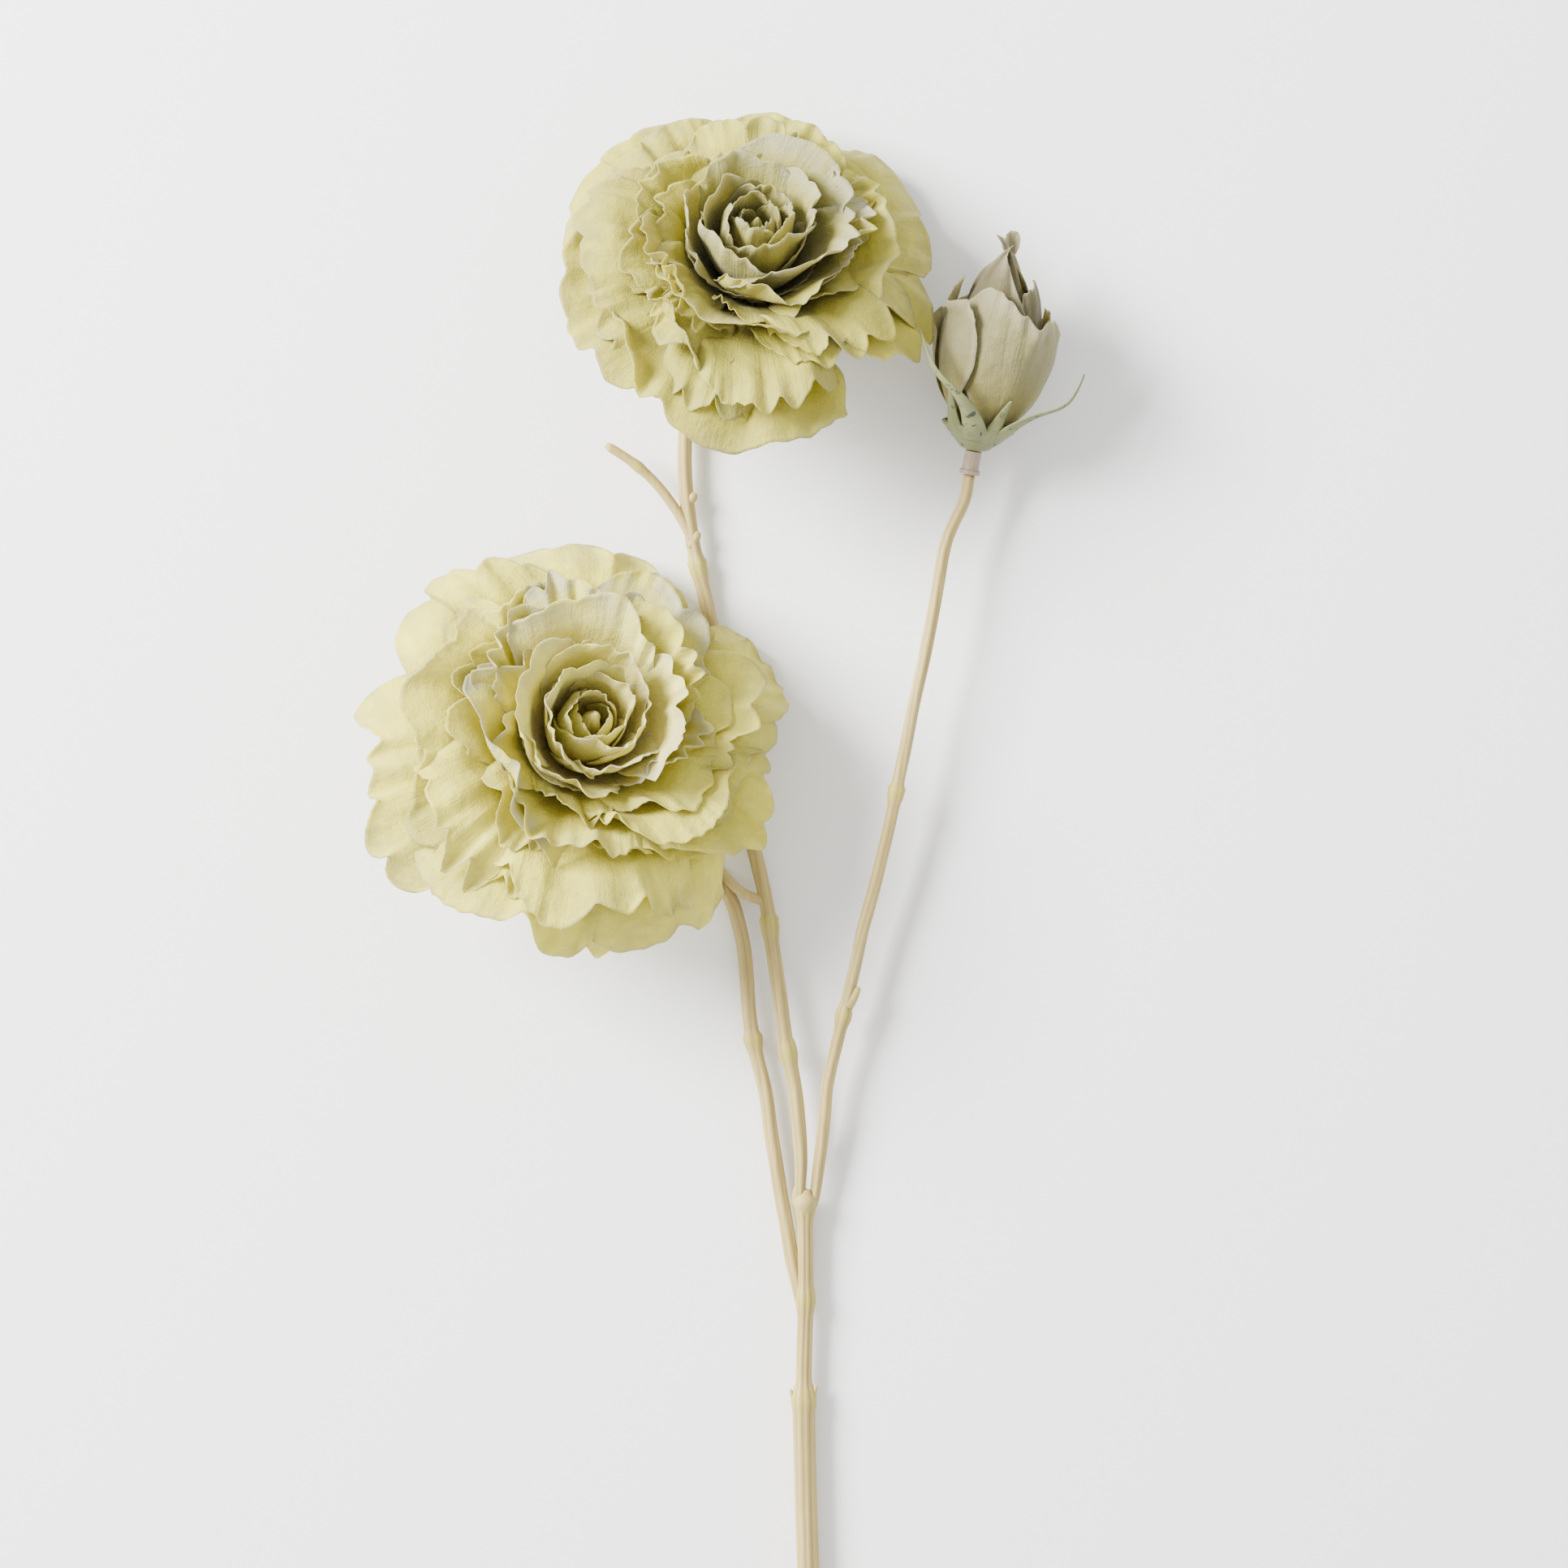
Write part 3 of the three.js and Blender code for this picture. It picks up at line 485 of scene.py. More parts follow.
BLOOM_B_PETALS = {
    "first": 341,
    "phase": 2.6,
    "own": {0: {"dry": 0.9}, 2: {"dry": 0.8}, 3: {"dry": 0.7},
            4: {"half_width": 60, "roll": 0.12, "dry": 1.0}, 8: {"dry": 0.9}, 9: {"dry": 0.8},
            11: {"roll": 0.1}, 17: {"roll": 0.1, "notch": 0.02}},
    "lengths": (0.96, 0.98, 0.95, 1, 0.97, 0.98, 0.96, 1, 0.94, 0.95,
                1, 0.97, 1, 1, 1.02, 0.92, 0.97, 1.03, 0.98, 0.95),
}
# The centre's small petals wind round a closed core, each a golden angle on from the one before.
HEART_COUNT, GOLDEN_ANGLE = 16, 137.5
HEART_LAYERS = (0.04, 0.47)
FOOT_PETAL = {
    "layer": 0.487, "half_width": 78, "twist": 0.004, "length": 0.62,
    "fold": 0.004, "pleat": 0.0, "notch": 0.0, "roll": 0.0, "jitter": 0.0,
}
CORE_PROFILE = ((0.6, 4), (1.6, 10), (2.4, 16), (2.6, 20), (1.7, 24.5), (0.35, 28))
CALYX_DEPTH, CALYX_WALL, CLEARANCE, CAD_PETAL, TIP_RADIUS = 10, 1.1, 0.35, 0.6, 1.6


def turned(shell, flower, profile, sides, **values):
    """A solid turned about the flower's axis, from a (radius, height) profile that starts and ends on it."""
    profile = np.array(profile, dtype=float)
    angle = np.linspace(0, 2 * np.pi, sides, endpoint=False)
    inner = profile[1:-1]
    rings = np.stack([np.outer(inner[:, 0], np.cos(angle)), np.outer(inner[:, 0], np.sin(angle)),
                      np.outer(inner[:, 1], np.ones(sides))], axis=-1).reshape(-1, 3)
    ends = np.array([[0, 0, profile[0, 1]], [0, 0, profile[-1, 1]]])
    faces = tube_faces(len(inner), sides)
    shell.add(flower.place(np.vstack([rings, ends])), faces, **values)


def tube_faces(rings, sides):
    """Faces of rings of points, closed by fans to two last points."""
    at = np.arange(rings * sides).reshape(rings, sides)
    after = np.roll(at, -1, axis=1)
    faces = np.stack([at[:-1], after[:-1], after[1:], at[1:]], axis=-1).reshape(-1, 4)
    first, last = rings * sides, rings * sides + 1
    start = np.stack([np.full(sides, first), after[0], at[0], np.full(sides, first)], axis=-1)
    end = np.stack([np.full(sides, last), at[-1], after[-1], np.full(sides, last)], axis=-1)
    return FaceList(faces, start[:, :3], end[:, :3])


class FaceList:
    """Quads and triangles together, which can be shifted by a number of points."""

    def __init__(self, *groups):
        self.groups = groups

    def __add__(self, shift):
        return FaceList(*(group + shift for group in self.groups))

    def tolist(self):
        return [face for group in self.groups for face in group.tolist()]


def smooth_profile(profile, steps=6):
    """A rounder version of a profile whose first and last points stay on the axis."""
    profile = np.array(profile, dtype=float)
    middle = catmull_rom(np.column_stack([profile[1:-1], np.zeros(len(profile) - 2)]), steps)[:, :2]
    return np.vstack([profile[:1], middle, profile[-1:]])


def sepal_strip(flower, bowls, lengths, layers, azimuth, half_width, taper, start, reach, thickness, shell,
                curve=1.35, drift=0.0):
    rows, columns = 40, 8
    across = np.linspace(-1, 1, columns + 1)[None, :]
    along = np.linspace(0, 1, rows + 1)[:, None]
    layer = lerp(*layers, smooth(0.1, 0.8, along))
    azimuth = azimuth + drift * along**1.3
    on = on_bowl(bowls, lengths, layer + 0 * across, start + along * reach, azimuth + 0 * across)
    width = half_width * lerp(1, taper, along**curve)
    angle = np.radians(azimuth)
    side = np.stack([-np.sin(angle), np.cos(angle), 0 * angle], axis=-1)
    points = on + (width * across)[..., None] * side
    ridge = 0.35 * half_width * (np.abs(across) ** 1.5) * width / half_width  # folded along its midrib
    inward = -np.stack([np.cos(angle), np.sin(angle), 0 * angle], axis=-1)
    points = points + ridge[..., None] * inward
    shape = thickness * lerp(1.0, 0.45, along) * lerp(1.0, 0.5, np.abs(across) ** 2)
    shell.sheet(settled(flower.place(points)), shape, joint=1 - along + 0 * across)


def build_bloom(name, place, petals, seed):
    scene = bpy.context.scene
    colours, sizes = scene.lisianthus_colours, scene.lisianthus_sizes
    thickness, strength = sizes.petal / MM, sizes.ruffle
    flower = Flower(place["foot"], place["lean"], place["towards"])
    lengths = (HEART_HEIGHT, place["reach"])
    pale, deep = (np.array(c) * place["tone"] for c in (colours.pale, colours.deep))
    cloth = petal_material(f"{name}_petal", colours, pale, deep)
    k = 0
    for group, count in PETAL_GROUPS.items():
        for number in range(1, count + 1):
            outwards = k / (PETAL_COUNT - 1)
            petal = {
                "azimuth": petals["first"] + k * PETAL_STEP,
                "layer": lerp(*PETAL_LAYERS, outwards),
                "half_width": lerp(*PETAL_HALF_WIDTHS, outwards),
                "twist": PETAL_TWIST,
                "length": petals["lengths"][k],
                "phase": petals["phase"],
                "fold": lerp(0.03, 0.042, outwards),
                "pleat": lerp(0.021, 0.014, outwards),
                "roll": lerp(0.03, 0.065, outwards),
                **petals["own"].get(k, {}),
            }
            shell = Shell()
            add_petal(shell, flower, thickness, *petal_grid(BLOOM_BOWLS, lengths, petal, seed + k, strength))
            frill = {
                **petal,
                "azimuth": petal["azimuth"] + FRILL["turn"],
                "layer": petal["layer"] - FRILL["inwards"],
                "half_width": lerp(*PETAL_HALF_WIDTHS, outwards) * FRILL["width"],
                "twist": FRILL["twist"],
                "length": petal["length"] * FRILL["length"],
                "pleat": FRILL["pleat"],
                "lobes": FRILL["lobes"],
                "crinkle": 0.003,
                "roll": lerp(0.02, 0.05, outwards),
            }
            if k >= FRILLS_FROM:
                made = petal_grid(BLOOM_BOWLS, lengths, frill, seed + 30 + k, strength, 44, 32)
                add_petal(shell, flower, thickness, *made)
            node = f"{name}_{group}_petal_{number}"
            finish_piece(shell.build(f"{node}_cloth", cloth), "petal", node)
            k += 1
    shell = Shell()
    for k in range(HEART_COUNT):
        outwards = k / (HEART_COUNT - 1)
        petal = {
            "azimuth": petals["first"] - 25 + (HEART_COUNT - k) * GOLDEN_ANGLE,
            "layer": lerp(*HEART_LAYERS, outwards),
            "half_width": lerp(105, 66, outwards**0.6),
            "twist": lerp(0.015, 0.035, outwards),
            "length": lerp(0.92, 0.99, smooth(0, 0.5, outwards)) + 0.05 * math.sin(2.4 * k + petals["phase"]),
            "phase": petals["phase"],
            "fold": lerp(0.012, 0.024, outwards),
            "crinkle": 0.004,
            "pleat": lerp(0.004, 0.01, outwards),
            "roll": lerp(0.01, 0.03, outwards),
            "notch": 0.05,
            "dry": lerp(0.35, 0.85, outwards),
        }
        made = petal_grid(BLOOM_BOWLS, lengths, petal, seed + 50 + k, strength, 44, 32)
        add_petal(shell, flower, thickness, *made)
    add_core(shell, flower)
    # Short petals round the heart's foot close it from below.
    for k in range(3):
        petal = {**FOOT_PETAL, "azimuth": petals["first"] + 120 * k, "phase": petals["phase"]}
        made = petal_grid(BLOOM_BOWLS, lengths, petal, seed + 80 + k, strength, 44, 16)
        add_petal(shell, flower, thickness, *made)
    pale = np.array(colours.heart) * place["heart_tone"]
    deep = np.array(colours.heart_deep) * place["gap_tone"]
    heart = petal_material(f"{name}_heart", colours, pale, deep, rim_share=0.7)
    finish_piece(shell.build(f"{name}_heart_cloth", heart), "heart", f"{name}_heart")
    build_bloom_calyx(name, flower, lengths, calyx_material(colours), sizes.sepal / MM)


def add_core(shell, flower):
    """The closed middle of a bloom: small petals wrapped so tightly that only their edges show."""
    radii, heights = np.array(CORE_PROFILE).T
    path = [flower.under(height) for height in heights]
    shares = (heights - heights[0]) / (heights[-1] - heights[0])

    def radius(share, angle):
        wrap = np.abs(np.sin(1.5 * angle + 2.4 * share + 0.3 * np.sin(2 * angle)))
        return np.interp(share, shares, radii) * (1 + 0.45 * wrap**0.5 - 0.25)

    tube(shell, path, radius, sides=36, spacing=0.6,
         along=lambda s, a: 0.35 + 0.6 * s, across=lambda s, a: np.sin(a),
         edge=0.5, tint=0.2, depth=0.1, dry=0.3, inside=0.0)


def build_bloom_calyx(name, flower, lengths, material, thickness):
    rim_radius = BLOOM_BOWLS["radius"][1] + CAD_PETAL / 2 + CLEARANCE
    rim_height = BLOOM_BOWLS["height"][1] - CAD_PETAL - CLEARANCE
    bottom = rim_height - CALYX_DEPTH
    profile = [
        (0, bottom),
        (TIP_RADIUS + 0.5, bottom),
        (rim_radius * 0.72, bottom + CALYX_DEPTH * 0.34),
        (rim_radius + CALYX_WALL * 0.8, bottom + CALYX_DEPTH * 0.76),
        (rim_radius + CALYX_WALL, rim_height),
        (rim_radius, rim_height),
        (rim_radius - 0.5, bottom + CALYX_DEPTH * 0.8),
        (rim_radius * 0.72 - CALYX_WALL, bottom + CALYX_DEPTH * 0.46),
        (0, bottom + CALYX_DEPTH * 0.46),
    ]
    shell = Shell()
    turned(shell, flower, smooth_profile(profile), 40, joint=1.0, inside=0.0)
    for k in range(5):
        sepal_strip(flower, BLOOM_BOWLS, lengths, (1.2, 1.2), k * 72 + 12, 2.3, 0.16, -0.025, 0.62,
                    thickness, shell)
    finish_piece(shell.build(f"{name}_calyx_moulding", material), "calyx", f"{name}_calyx")


# ---- Bud ----
BUD = {"foot": (49.56, 89.57, 15.2), "lean": 79, "towards": 80}
BUD_LENGTHS = (54, 41)
BUD_WHORL = {"layer": 0.95, "twist": 0.09, "fold": 0.06, "roll": 0.1, "shoulder": 0.16, "jitter": 0.4,
             "notch": 0.02, "crinkle": 0.01, "pleat": 0.03, "lobes": 0.8, "dry": 0.3}
BUD_PETALS = (
    {"azimuth": 285, "layer": 1.0, "half_width": 74, "length": 0.99, "twist": 0.16,
     "fold": 0.1, "shoulder": 0.08},
    {"azimuth": 196, "half_width": 50, "length": 1.03, "shoulder": 0.12},
    {"azimuth": 106, "half_width": 70, "length": 0.95},
    {"azimuth": 16, "half_width": 54, "length": 0.93},
)
BUD_CORE = (
    {"layer": 0.7, "half_width": 60, "azimuths": (335, 95), "length": 1.0},
    {"layer": 0.55, "half_width": 88, "azimuths": (228, 40), "length": 1.1},
    {"layer": 0.32, "half_width": 115, "azimuths": (290,), "length": 1.12},
)
# Each sepal drifts round the bud by some degrees as it leaves the calyx for a bowl of its own:
# azimuth, drift, bowl and reach.
BUD_SEPALS = (
    (308, 36, 2.1, 1.2),
    (283, 7, 1.2, 0.42),
    (256, -50, 2.0, 1.3),
    (215, 6, 1.25, 0.45),
    (80, 0, 1.25, 0.6),
)
BUD_CALYX_DEPTH, SLEEVE_LENGTH, SLEEVE_RADIUS = 2, 6, 2.15
BUD_CALYX_GAPS, BUD_CALYX_WALL, BUD_CALYX_REACH, BUD_SEPAL_FOOT = (1.0, 1.5), 0.9, 0.15, 1.45
BUD_RIM_HEIGHT = BUD_BOWLS["height"][1] - CAD_PETAL - CLEARANCE


def beside_bud(extra, shares):
    """A profile that follows the outer petals' bowl at some distance outside it."""
    profile = []
    for share in shares:
        x, _, z = on_bowl(BUD_BOWLS, BUD_LENGTHS, np.float64(1), np.float64(share), np.float64(0))
        angle = math.radians(lerp(BUD_BOWLS["start"][1], BUD_BOWLS["end"][1], share))
        away = lerp(*BUD_CALYX_GAPS, share / BUD_CALYX_REACH) + extra
        profile.append((x + away * math.cos(angle), z - away * math.sin(angle)))
    return profile


def build_bud():
    scene = bpy.context.scene
    colours, sizes = scene.lisianthus_colours, scene.lisianthus_sizes
    thickness, strength = sizes.petal / MM, sizes.ruffle
    flower = Flower(**BUD)
    deep = lerp(np.array(colours.bud), np.array(colours.deep), 0.5)
    cloth = petal_material("bud_petal", colours, colours.bud, deep)
    for k, own in enumerate(BUD_PETALS):
        petal = {**BUD_WHORL, **own}
        shell = Shell()
        add_petal(shell, flower, thickness, *petal_grid(BUD_BOWLS, BUD_LENGTHS, petal, 300 + k, strength))
        node = f"bud_petal_{k + 1}"
        finish_piece(shell.build(f"{node}_cloth", cloth), "bud_petal", node)
    shell = Shell()
    for order, ring in enumerate(BUD_CORE):
        for k, azimuth in enumerate(ring["azimuths"]):
            petal = {**BUD_WHORL, **ring, "azimuth": azimuth, "twist": 0.06, "roll": 0.0, "shoulder": 0.26,
                     "fold": 0.07, "jitter": 1.0}
            made = petal_grid(BUD_BOWLS, BUD_LENGTHS, petal, 330 + 5 * order + k, strength)
            add_petal(shell, flower, thickness, *made)
    heart = petal_material("bud_heart", colours, colours.bud_core, colours.heart_deep, deep_share=0.6)
    finish_piece(shell.build("bud_heart_cloth", heart), "heart", "bud_heart")

    bottom = BUD_RIM_HEIGHT - BUD_CALYX_DEPTH
    outer = beside_bud(BUD_CALYX_WALL, np.linspace(0, BUD_CALYX_REACH, 5))
    inner = beside_bud(0, np.linspace(BUD_CALYX_REACH, 0, 5))
    base = [(0, bottom), (SLEEVE_RADIUS + 0.4, bottom), (SLEEVE_RADIUS + 1.5, bottom + 0.4)]
    shell = Shell()
    profile = smooth_profile([*base, *outer, *inner, (0, BUD_RIM_HEIGHT)])
    turned(shell, flower, profile, 40, joint=1.0, inside=0.0)
    for azimuth, drift, layer, reach in BUD_SEPALS:
        sepal_strip(flower, BUD_BOWLS, BUD_LENGTHS, (BUD_SEPAL_FOOT, layer), azimuth, 4.0, 0.1, 0.06,
                    reach - 0.06, sizes.sepal / MM, shell, curve=0.7, drift=drift)
    finish_piece(shell.build("bud_calyx_moulding", calyx_material(colours)), "calyx", "bud_calyx")


# ---- Stems ----
def catmull_rom(points, steps):
    """A centripetal curve through the points, with some steps between each pair."""
    points = np.asarray(points, dtype=float)
    padded = np.vstack([2 * points[0] - points[1], points, 2 * points[-1] - points[-2]])
    pieces = []
    for p in (padded[k : k + 4] for k in range(len(points) - 1)):
        gaps = np.sqrt(np.linalg.norm(np.diff(p, axis=0), axis=1)).clip(1e-4)
        t = np.concatenate([[0], np.cumsum(gaps)])
        x = np.linspace(t[1], t[2], steps, endpoint=False)[:, None]
        a = [((t[i + 1] - x) * p[i] + (x - t[i]) * p[i + 1]) / (t[i + 1] - t[i]) for i in range(3)]
        b = [((t[i + 2] - x) * a[i] + (x - t[i]) * a[i + 1]) / (t[i + 2] - t[i]) for i in range(2)]
        pieces.append(((t[2] - x) * b[0] + (x - t[1]) * b[1]) / (t[2] - t[1]))
    return np.vstack([*pieces, points[-1:]])


def even_path(points, spacing):
    fine = catmull_rom(points, 40)
    walked = np.concatenate([[0], np.cumsum(np.linalg.norm(np.diff(fine, axis=0), axis=1))])
    stations = np.linspace(0, walked[-1], max(4, int(walked[-1] / spacing)) + 1)
    return np.column_stack([np.interp(stations, walked, fine[:, k]) for k in range(3)])


def tube(shell, points, radius, sides=26, spacing=1.3, **values):
    """radius(share, angle) gives each ring's radii. Values may be functions of the same two."""
    path = even_path(points, spacing)
    tangent = np.gradient(path, axis=0)
    tangent /= np.linalg.norm(tangent, axis=1, keepdims=True)
    normal = np.zeros_like(path)
    normal[0] = np.cross(tangent[0], [0, 0, 1.0])
    for k in range(len(path)):
        before = normal[k - 1] if k else normal[0]
        normal[k] = before - tangent[k] * np.dot(before, tangent[k])
        normal[k] /= np.linalg.norm(normal[k])
    other = np.cross(tangent, normal)
    share = np.linspace(0, 1, len(path))[:, None]
    angle = np.linspace(0, 2 * np.pi, sides, endpoint=False)[None, :]
    reach = radius(share, angle) + 0 * share * angle
    rings = path[:, None] + normal[:, None] * (reach * np.cos(angle))[..., None]
    rings = rings + other[:, None] * (reach * np.sin(angle))[..., None]
    ends = np.array([path[0] - tangent[0] * 0.1, path[-1] + tangent[-1] * 0.3])
    given = {}
    for key, value in values.items():
        field = (value(share, angle) if callable(value) else value) + 0 * share * angle
        given[key] = np.concatenate([field.ravel(), [field[0, 0], field[-1, 0]]])
    shell.add(np.vstack([rings.reshape(-1, 3), ends]), tube_faces(len(path), sides), **given)
    return path


MAIN_LENGTH, MAIN_RADIUS, COLLAR_RISE = 232, 2.95, 0.75
BRANCH_RADII = {"central": 1.98, "left": 1.95, "right": 1.7}
START_RADIUS, TRUNK_RADIUS, TWIG_RADIUS = 1.5, 2.1, 1.35
MAIN_JOINT_WIDTH = 0.008
COLLAR = np.array([5, -159, MAIN_RADIUS + COLLAR_RISE])
FORK = np.array([5.3, -107.8, 4.8])
FORK_KNOB = [(5.1, -113, 4.7), (5.3, -109, 5.0), (5.7, -105.4, 5.4)]
ROUTES = {
    "central": [
        (4.1, -107.4, 5.4), (4.4, -97, 6.3), (2.9, -80, 6.4), (0.2, -64.3, 6.2), (-2.4, -46, 6),
        (-4.7, -31, 4.8), (-7.6, -17.6, 3.4), (-10.2, -7, 2.5), (-15.4, 24, 2.1), (-20.6, 48.5, 2.7),
        (-24, 64, 4.0), (-25.5, 77, 4.2), (-25.6, 92, 3.6), (-23.4, 105, 2.8), (-18, 114.6, 3.0),
    ],
    "left": [
        (3.3, -130.5, 3.6), (1.9, -122.5, 3.3), (-0.5, -108, 3.3), (-2.9, -93.7, 3.4), (-4.8, -81, 3.5),
        (-8.6, -63.5, 3.5), (-9.6, -51.2, 3.2), (-11, -39.5, 3.1), (-14.6, -28.8, 2.8), (-21.5, -21.8, 2.5),
        (-39.5, -10.4, 2.2), (-52.6, -1.2, 2.3),
    ],
    "right": [
        (7.8, -107.4, 4.3), (9.4, -97, 5.4), (10.6, -86, 6.4), (11.4, -78, 7.0), (16.6, -55, 8.6),
        (20.4, -38, 9.6), (25.4, -19, 10.6), (30.4, 4.4, 11.5), (33, 18, 12), (38, 41, 12.5),
        (42.2, 63, 12.6),
    ],
}
# Each branch is moulded into the trunk from a point inside it.
ROOTED = {"central": (4.7, -112.5, 4.8), "left": (4.6, -137.5, 4.0), "right": (6.4, -113, 4.5)}
JOINTS = {"central": (0.175, 0.31, 0.7), "left": (0.415,), "right": (0.27, 0.57)}
TWIGS = (
    [(-24.2, 64.5, 4.2), (-27.6, 70.5, 5), (-32.8, 77.5, 6.5), (-38.2, 82.6, 8), (-46, 87.8, 10)],
    [(-5.2, -30.5, 4.8), (-10.5, -28.4, 6.2), (-15.2, -24, 7.4), (-19.2, -18.6, 8), (-23.6, -12.5, 8.4)],
    [(-24.6, 61.5, 4.2), (-23.4, 63.5, 4.6), (-22.2, 65.4, 5)],
    [(-25.6, 72.5, 4.3), (-24.2, 74, 4.8), (-23, 75.4, 5.2)],
)
# Short tips and knobs on the trunk, and how thick each is at its foot.
SPURS = (
    ([(3.4, -161.5, 3.6), (2.5, -159.6, 4.1), (1.7, -157.6, 4.5)], 0.95),
    ([(6.8, -161, 3.6), (7.7, -158.8, 4.1), (8.4, -156.3, 4.5)], 0.95),
    ([(3.4, -109.5, 4.9), (3.0, -107, 5.3), (3.1, -104.6, 5.6)], 1.3),
    ([(7.2, -110, 4.8), (7.9, -107.4, 5.1), (8.2, -105, 5.5)], 1.2),
)
RIGHT_KNOB = [(16.4, -57.5, 8.6), (18.1, -55.2, 9.0), (19.3, -52.8, 9.6)]
MAIN_JOINTS = (0.25, 0.54, 0.815, 0.905, 0.99)


def swelling(share, joints, width=0.009):
    """Each joint is a low swelling that ends in a narrow collar."""
    return sum(0.85 * bump(share, at, width) + 0.7 * bump(share, at + width, width * 0.35) for at in joints)


def stem_end(name):
    """The last points of a branch: straight up into its flower's calyx or sleeve."""
    if name == "right":
        flower = Flower(**BUD)
        at = BUD_RIM_HEIGHT - BUD_CALYX_DEPTH - 2 * CLEARANCE - SLEEVE_LENGTH
        return [flower.under(at - 6), flower.under(at)]
    place, straight = (BLOOM_A, 4) if name == "central" else (BLOOM_B, 5)
    flower = Flower(place["foot"], place["lean"], place["towards"])
    at = BLOOM_BOWLS["height"][1] - CAD_PETAL - CLEARANCE - CALYX_DEPTH - CLEARANCE
    return [flower.under(at - straight), flower.under(at)]


def twig_radius(share, angle):
    joint = 0.2 * bump(share, 0.7, 0.05)
    return TWIG_RADIUS * (1 + joint - 0.12 * share - 0.3 * smooth(0.95, 1, share))


def build_stems():
    scene = bpy.context.scene
    colours, sizes = scene.lisianthus_colours, scene.lisianthus_sizes
    material = stem_material(colours)
    rib = sizes.rib / MM
    for name, route in ROUTES.items():
        joints = JOINTS[name]

        def radius(share, angle):
            free = lerp(0.9, START_RADIUS, smooth(0, 0.03, share))
            free = lerp(free, BRANCH_RADII[name], smooth(0.02, 0.1, share))
            plain = lerp(free, TIP_RADIUS, smooth(0.85, 1, share)) + swelling(share, joints) * COLLAR_RISE
            ribs = rib * np.cos(5 * angle + 2.5 * np.sin(9 * share)) + 0.5 * rib * np.sin(61 * share + angle)
            return plain + ribs - rib

        # Where the grooves between the ribs lie, for the painted shade in them.
        def groove(share, angle):
            return bump(np.cos(5 * angle + 2.5 * np.sin(9 * share)), -1, 0.35)

        shell = Shell()
        tube(shell, [ROOTED[name], *route, *stem_end(name)], radius,
             joint=lambda s, a: np.minimum(swelling(s, joints), 1), groove=groove, inside=0.0)
        if name == "central":
            for points in TWIGS:
                tube(shell, points, twig_radius, sides=18,
                     joint=lambda s, a: 0.6 * bump(s, 0.7, 0.05), groove=0.0, inside=0.0)
        if name == "right":
            tube(shell, RIGHT_KNOB, lambda s, a: lerp(1.7, 0.75, s), sides=14, spacing=0.5,
                 joint=0.2, groove=0.0, inside=0.0)
        finish_piece(shell.build(f"stem_{name}_moulding", material), "stem", f"stem_{name}")

    def main_radius(share, angle):
        ribs = 0.15 * np.cos(3 * angle) + rib * np.cos(9 * angle + 2 * np.sin(5 * share))
        plain = lerp(MAIN_RADIUS, TRUNK_RADIUS, smooth(0.805, 0.835, share))
        return plain + ribs - rib + COLLAR_RISE * swelling(share, MAIN_JOINTS, MAIN_JOINT_WIDTH)

    cut = np.array([8.5, COLLAR[1] - MAIN_LENGTH, COLLAR[2]])
    middle = lerp(COLLAR, cut, 0.5) + np.array([1.4, 0, 0])
    shell = Shell()
    tube(shell, [cut, middle, COLLAR, (5.5, -134, 3.9), FORK], main_radius, sides=48, spacing=1.6,
         joint=lambda s, a: np.minimum(swelling(s, MAIN_JOINTS, MAIN_JOINT_WIDTH), 1),
         groove=lambda s, a: bump(np.cos(9 * a + 2 * np.sin(5 * s)), -1, 0.5), inside=0.0)
    tube(shell, FORK_KNOB, lambda s, a: 2.0 + 1.1 * bump(s, 0.55, 0.3) - 0.9 * smooth(0.7, 1, s),
         sides=32, spacing=0.5, joint=lambda s, a: bump(s, 0.3, 0.12) * bump(a, 1.2, 0.6),
         groove=0.0, inside=0.0)
    for points, foot in SPURS:
        tube(shell, points, lambda s, a: foot * lerp(1, 0.35, s**1.5), sides=14, spacing=0.5,
             joint=0.15, groove=0.0, inside=0.0)
    finish_piece(shell.build("stem_main_moulding", material), "stem", "stem_main")


def dress_cad_parts():
    """Materials for the CAD parts that are shown as they are."""
    colours = bpy.context.scene.lisianthus_colours
    looks = {
        "wire": plain_material("wire", colours.wire, 0.35, metallic=1.0),
        "bud_sleeve": plain_material("sleeve", colours.sleeve, 0.35, wear=0.08),
        "receptacle": plain_material("receptacle", colours.calyx, 0.6),
    }
    for name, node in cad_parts.items():
        for key, look in looks.items():
            if key in name:
                node.data.materials.clear()
                node.data.materials.append(look)


# ---- Stage ----
FLOOR_SIZE, FLOOR_DROP = 8, 0.0004
VIEW_CENTRE = DRAWING_ORIGIN * MM
CAMERA_HEIGHT = 1.2
VIEW_WIDTH = 0.406  # of the table, at the height of the stems
STEM_HEIGHT = 0.01
KEY_PLACE, KEY_SIZE, KEY_POWER = (-1.25, 0.75, 1.0), 0.75, 140
LIGHT_TARGET = (0, 0.12, 0.02)
ROOM_BRIGHTNESS = 1.4


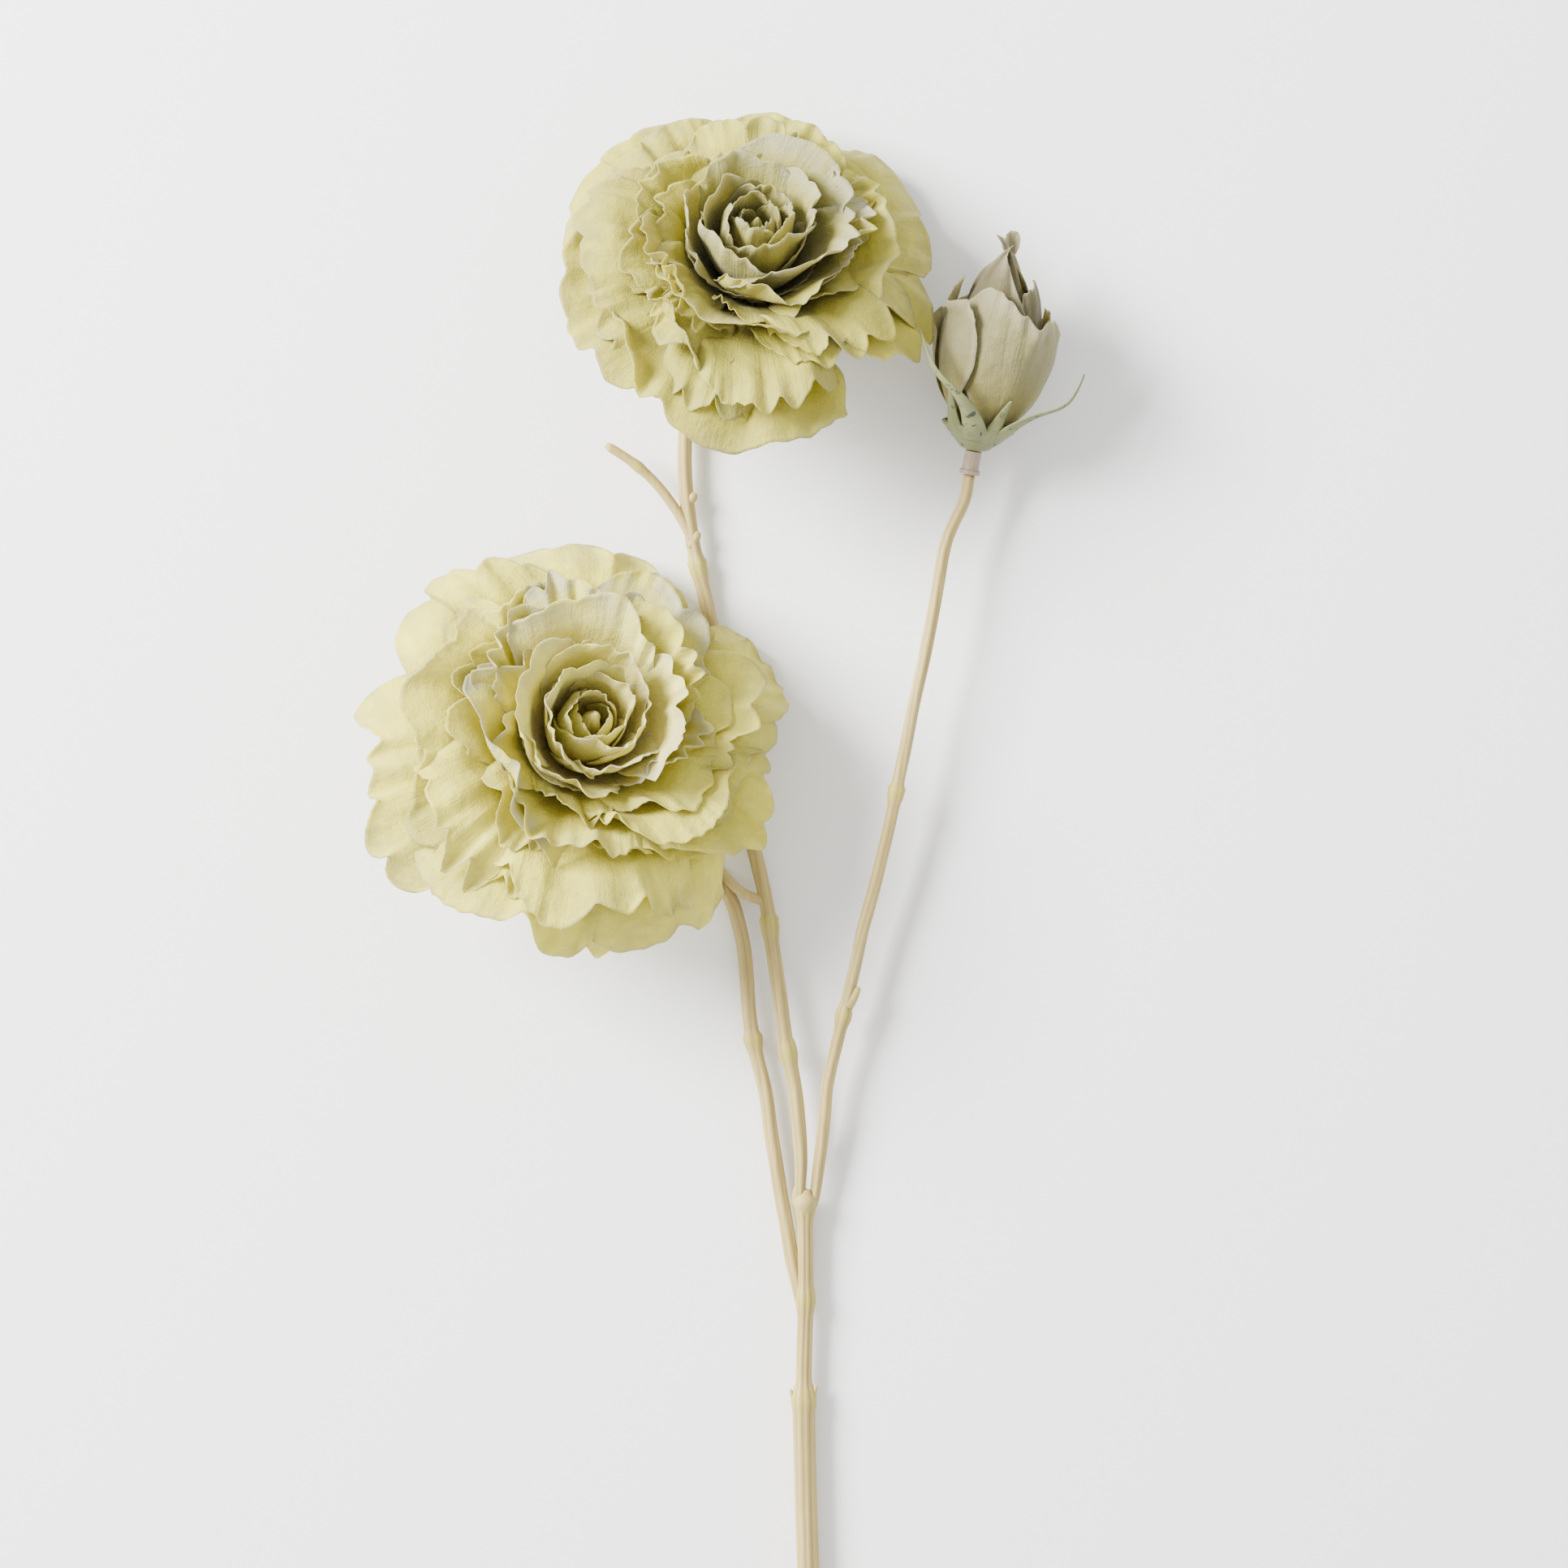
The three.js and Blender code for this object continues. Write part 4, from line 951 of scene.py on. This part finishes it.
def build_stage():
    colours = bpy.context.scene.lisianthus_colours
    bpy.ops.mesh.primitive_plane_add(size=FLOOR_SIZE, location=(0, 0, -FLOOR_DROP))
    floor = bpy.context.object
    floor.name = "floor"
    g = Graph("floor")
    cloud = g.noise(g.place(), 3.0, 2.0, 0.5)
    shade = g.mix(cloud * 0.15, tuple(colours.floor), tuple(np.array(colours.floor) * 0.95))
    floor.data.materials.append(g.surface(shade, 0.7))

    camera = bpy.data.cameras.new("camera")
    camera.sensor_fit = "HORIZONTAL"
    camera.angle = 2 * math.atan(VIEW_WIDTH / 2 / (CAMERA_HEIGHT - STEM_HEIGHT))
    eye = bpy.data.objects.new("camera", camera)
    eye.location = (VIEW_CENTRE[0], VIEW_CENTRE[1], CAMERA_HEIGHT)
    bpy.context.collection.objects.link(eye)
    bpy.context.scene.camera = eye

    def area_light(name, place, size, power, colour=(1, 1, 1)):
        data = bpy.data.lights.new(name, "AREA")
        data.shape, data.size, data.energy, data.color = "SQUARE", size, power, colour
        light = bpy.data.objects.new(name, data)
        light.location = place
        aim = Vector(LIGHT_TARGET) - Vector(place)
        light.rotation_euler = aim.to_track_quat("-Z", "Y").to_euler()
        bpy.context.collection.objects.link(light)

    area_light("key", KEY_PLACE, KEY_SIZE, KEY_POWER)
    world = bpy.data.worlds.new("room")
    world.use_nodes = True
    world.node_tree.nodes["Background"].inputs[0].default_value = (1, 1, 1, 1)
    world.node_tree.nodes["Background"].inputs[1].default_value = ROOM_BRIGHTNESS
    bpy.context.scene.world = world


# ---- Add-on ----
class LISIANTHUS_OT_upper_bloom(bpy.types.Operator):
    """Builds the upper bloom's petals, heart and calyx"""

    bl_idname = "lisianthus.upper_bloom"
    bl_label = "Upper bloom"
    bl_options = {"REGISTER", "UNDO"}

    def execute(self, context):
        build_bloom("bloom_a", BLOOM_A, BLOOM_A_PETALS, 100)
        return {"FINISHED"}


class LISIANTHUS_OT_lower_bloom(bpy.types.Operator):
    """Builds the lower bloom's petals, heart and calyx"""

    bl_idname = "lisianthus.lower_bloom"
    bl_label = "Lower bloom"
    bl_options = {"REGISTER", "UNDO"}

    def execute(self, context):
        build_bloom("bloom_b", BLOOM_B, BLOOM_B_PETALS, 200)
        return {"FINISHED"}


class LISIANTHUS_OT_bud(bpy.types.Operator):
    """Builds the bud's petals, rolled core and calyx"""

    bl_idname = "lisianthus.bud"
    bl_label = "Bud"
    bl_options = {"REGISTER", "UNDO"}

    def execute(self, context):
        build_bud()
        return {"FINISHED"}


class LISIANTHUS_OT_stems(bpy.types.Operator):
    """Builds the moulded stems and twigs"""

    bl_idname = "lisianthus.stems"
    bl_label = "Stems"
    bl_options = {"REGISTER", "UNDO"}

    def execute(self, context):
        build_stems()
        return {"FINISHED"}


class LISIANTHUS_OT_small_parts(bpy.types.Operator):
    """Gives the wires, the sleeve and the receptacles their materials"""

    bl_idname = "lisianthus.small_parts"
    bl_label = "Small parts"
    bl_options = {"REGISTER", "UNDO"}

    def execute(self, context):
        dress_cad_parts()
        return {"FINISHED"}


class LISIANTHUS_OT_stage(bpy.types.Operator):
    """Adds the table, the light and the camera"""

    bl_idname = "lisianthus.stage"
    bl_label = "Stage"
    bl_options = {"REGISTER", "UNDO"}

    def execute(self, context):
        build_stage()
        return {"FINISHED"}


OPERATORS = (
    LISIANTHUS_OT_upper_bloom,
    LISIANTHUS_OT_lower_bloom,
    LISIANTHUS_OT_bud,
    LISIANTHUS_OT_stems,
    LISIANTHUS_OT_small_parts,
    LISIANTHUS_OT_stage,
)


class LISIANTHUS_PT_panel(bpy.types.Panel):
    """Lists the spray's settings and operators"""

    bl_idname = "LISIANTHUS_PT_panel"
    bl_label = "Lisianthus"
    bl_space_type = "VIEW_3D"
    bl_region_type = "UI"
    bl_category = "Lisianthus"

    def draw(self, context):
        for group in (context.scene.lisianthus_colours, context.scene.lisianthus_sizes):
            for key in group.__annotations__:
                self.layout.prop(group, key)
        for one in OPERATORS:
            self.layout.operator(one.bl_idname)


CLASSES = (LisianthusColours, LisianthusSizes, *OPERATORS, LISIANTHUS_PT_panel)


def register():
    for one in CLASSES:
        bpy.utils.register_class(one)
    bpy.types.Scene.lisianthus_colours = PointerProperty(type=LisianthusColours)
    bpy.types.Scene.lisianthus_sizes = PointerProperty(type=LisianthusSizes)


def unregister():
    del bpy.types.Scene.lisianthus_sizes
    del bpy.types.Scene.lisianthus_colours
    for one in reversed(CLASSES):
        bpy.utils.unregister_class(one)


def main():
    register()
    for one in OPERATORS:
        getattr(bpy.ops.lisianthus, one.bl_idname.split(".")[1])()


if __name__ == "__main__":
    main()
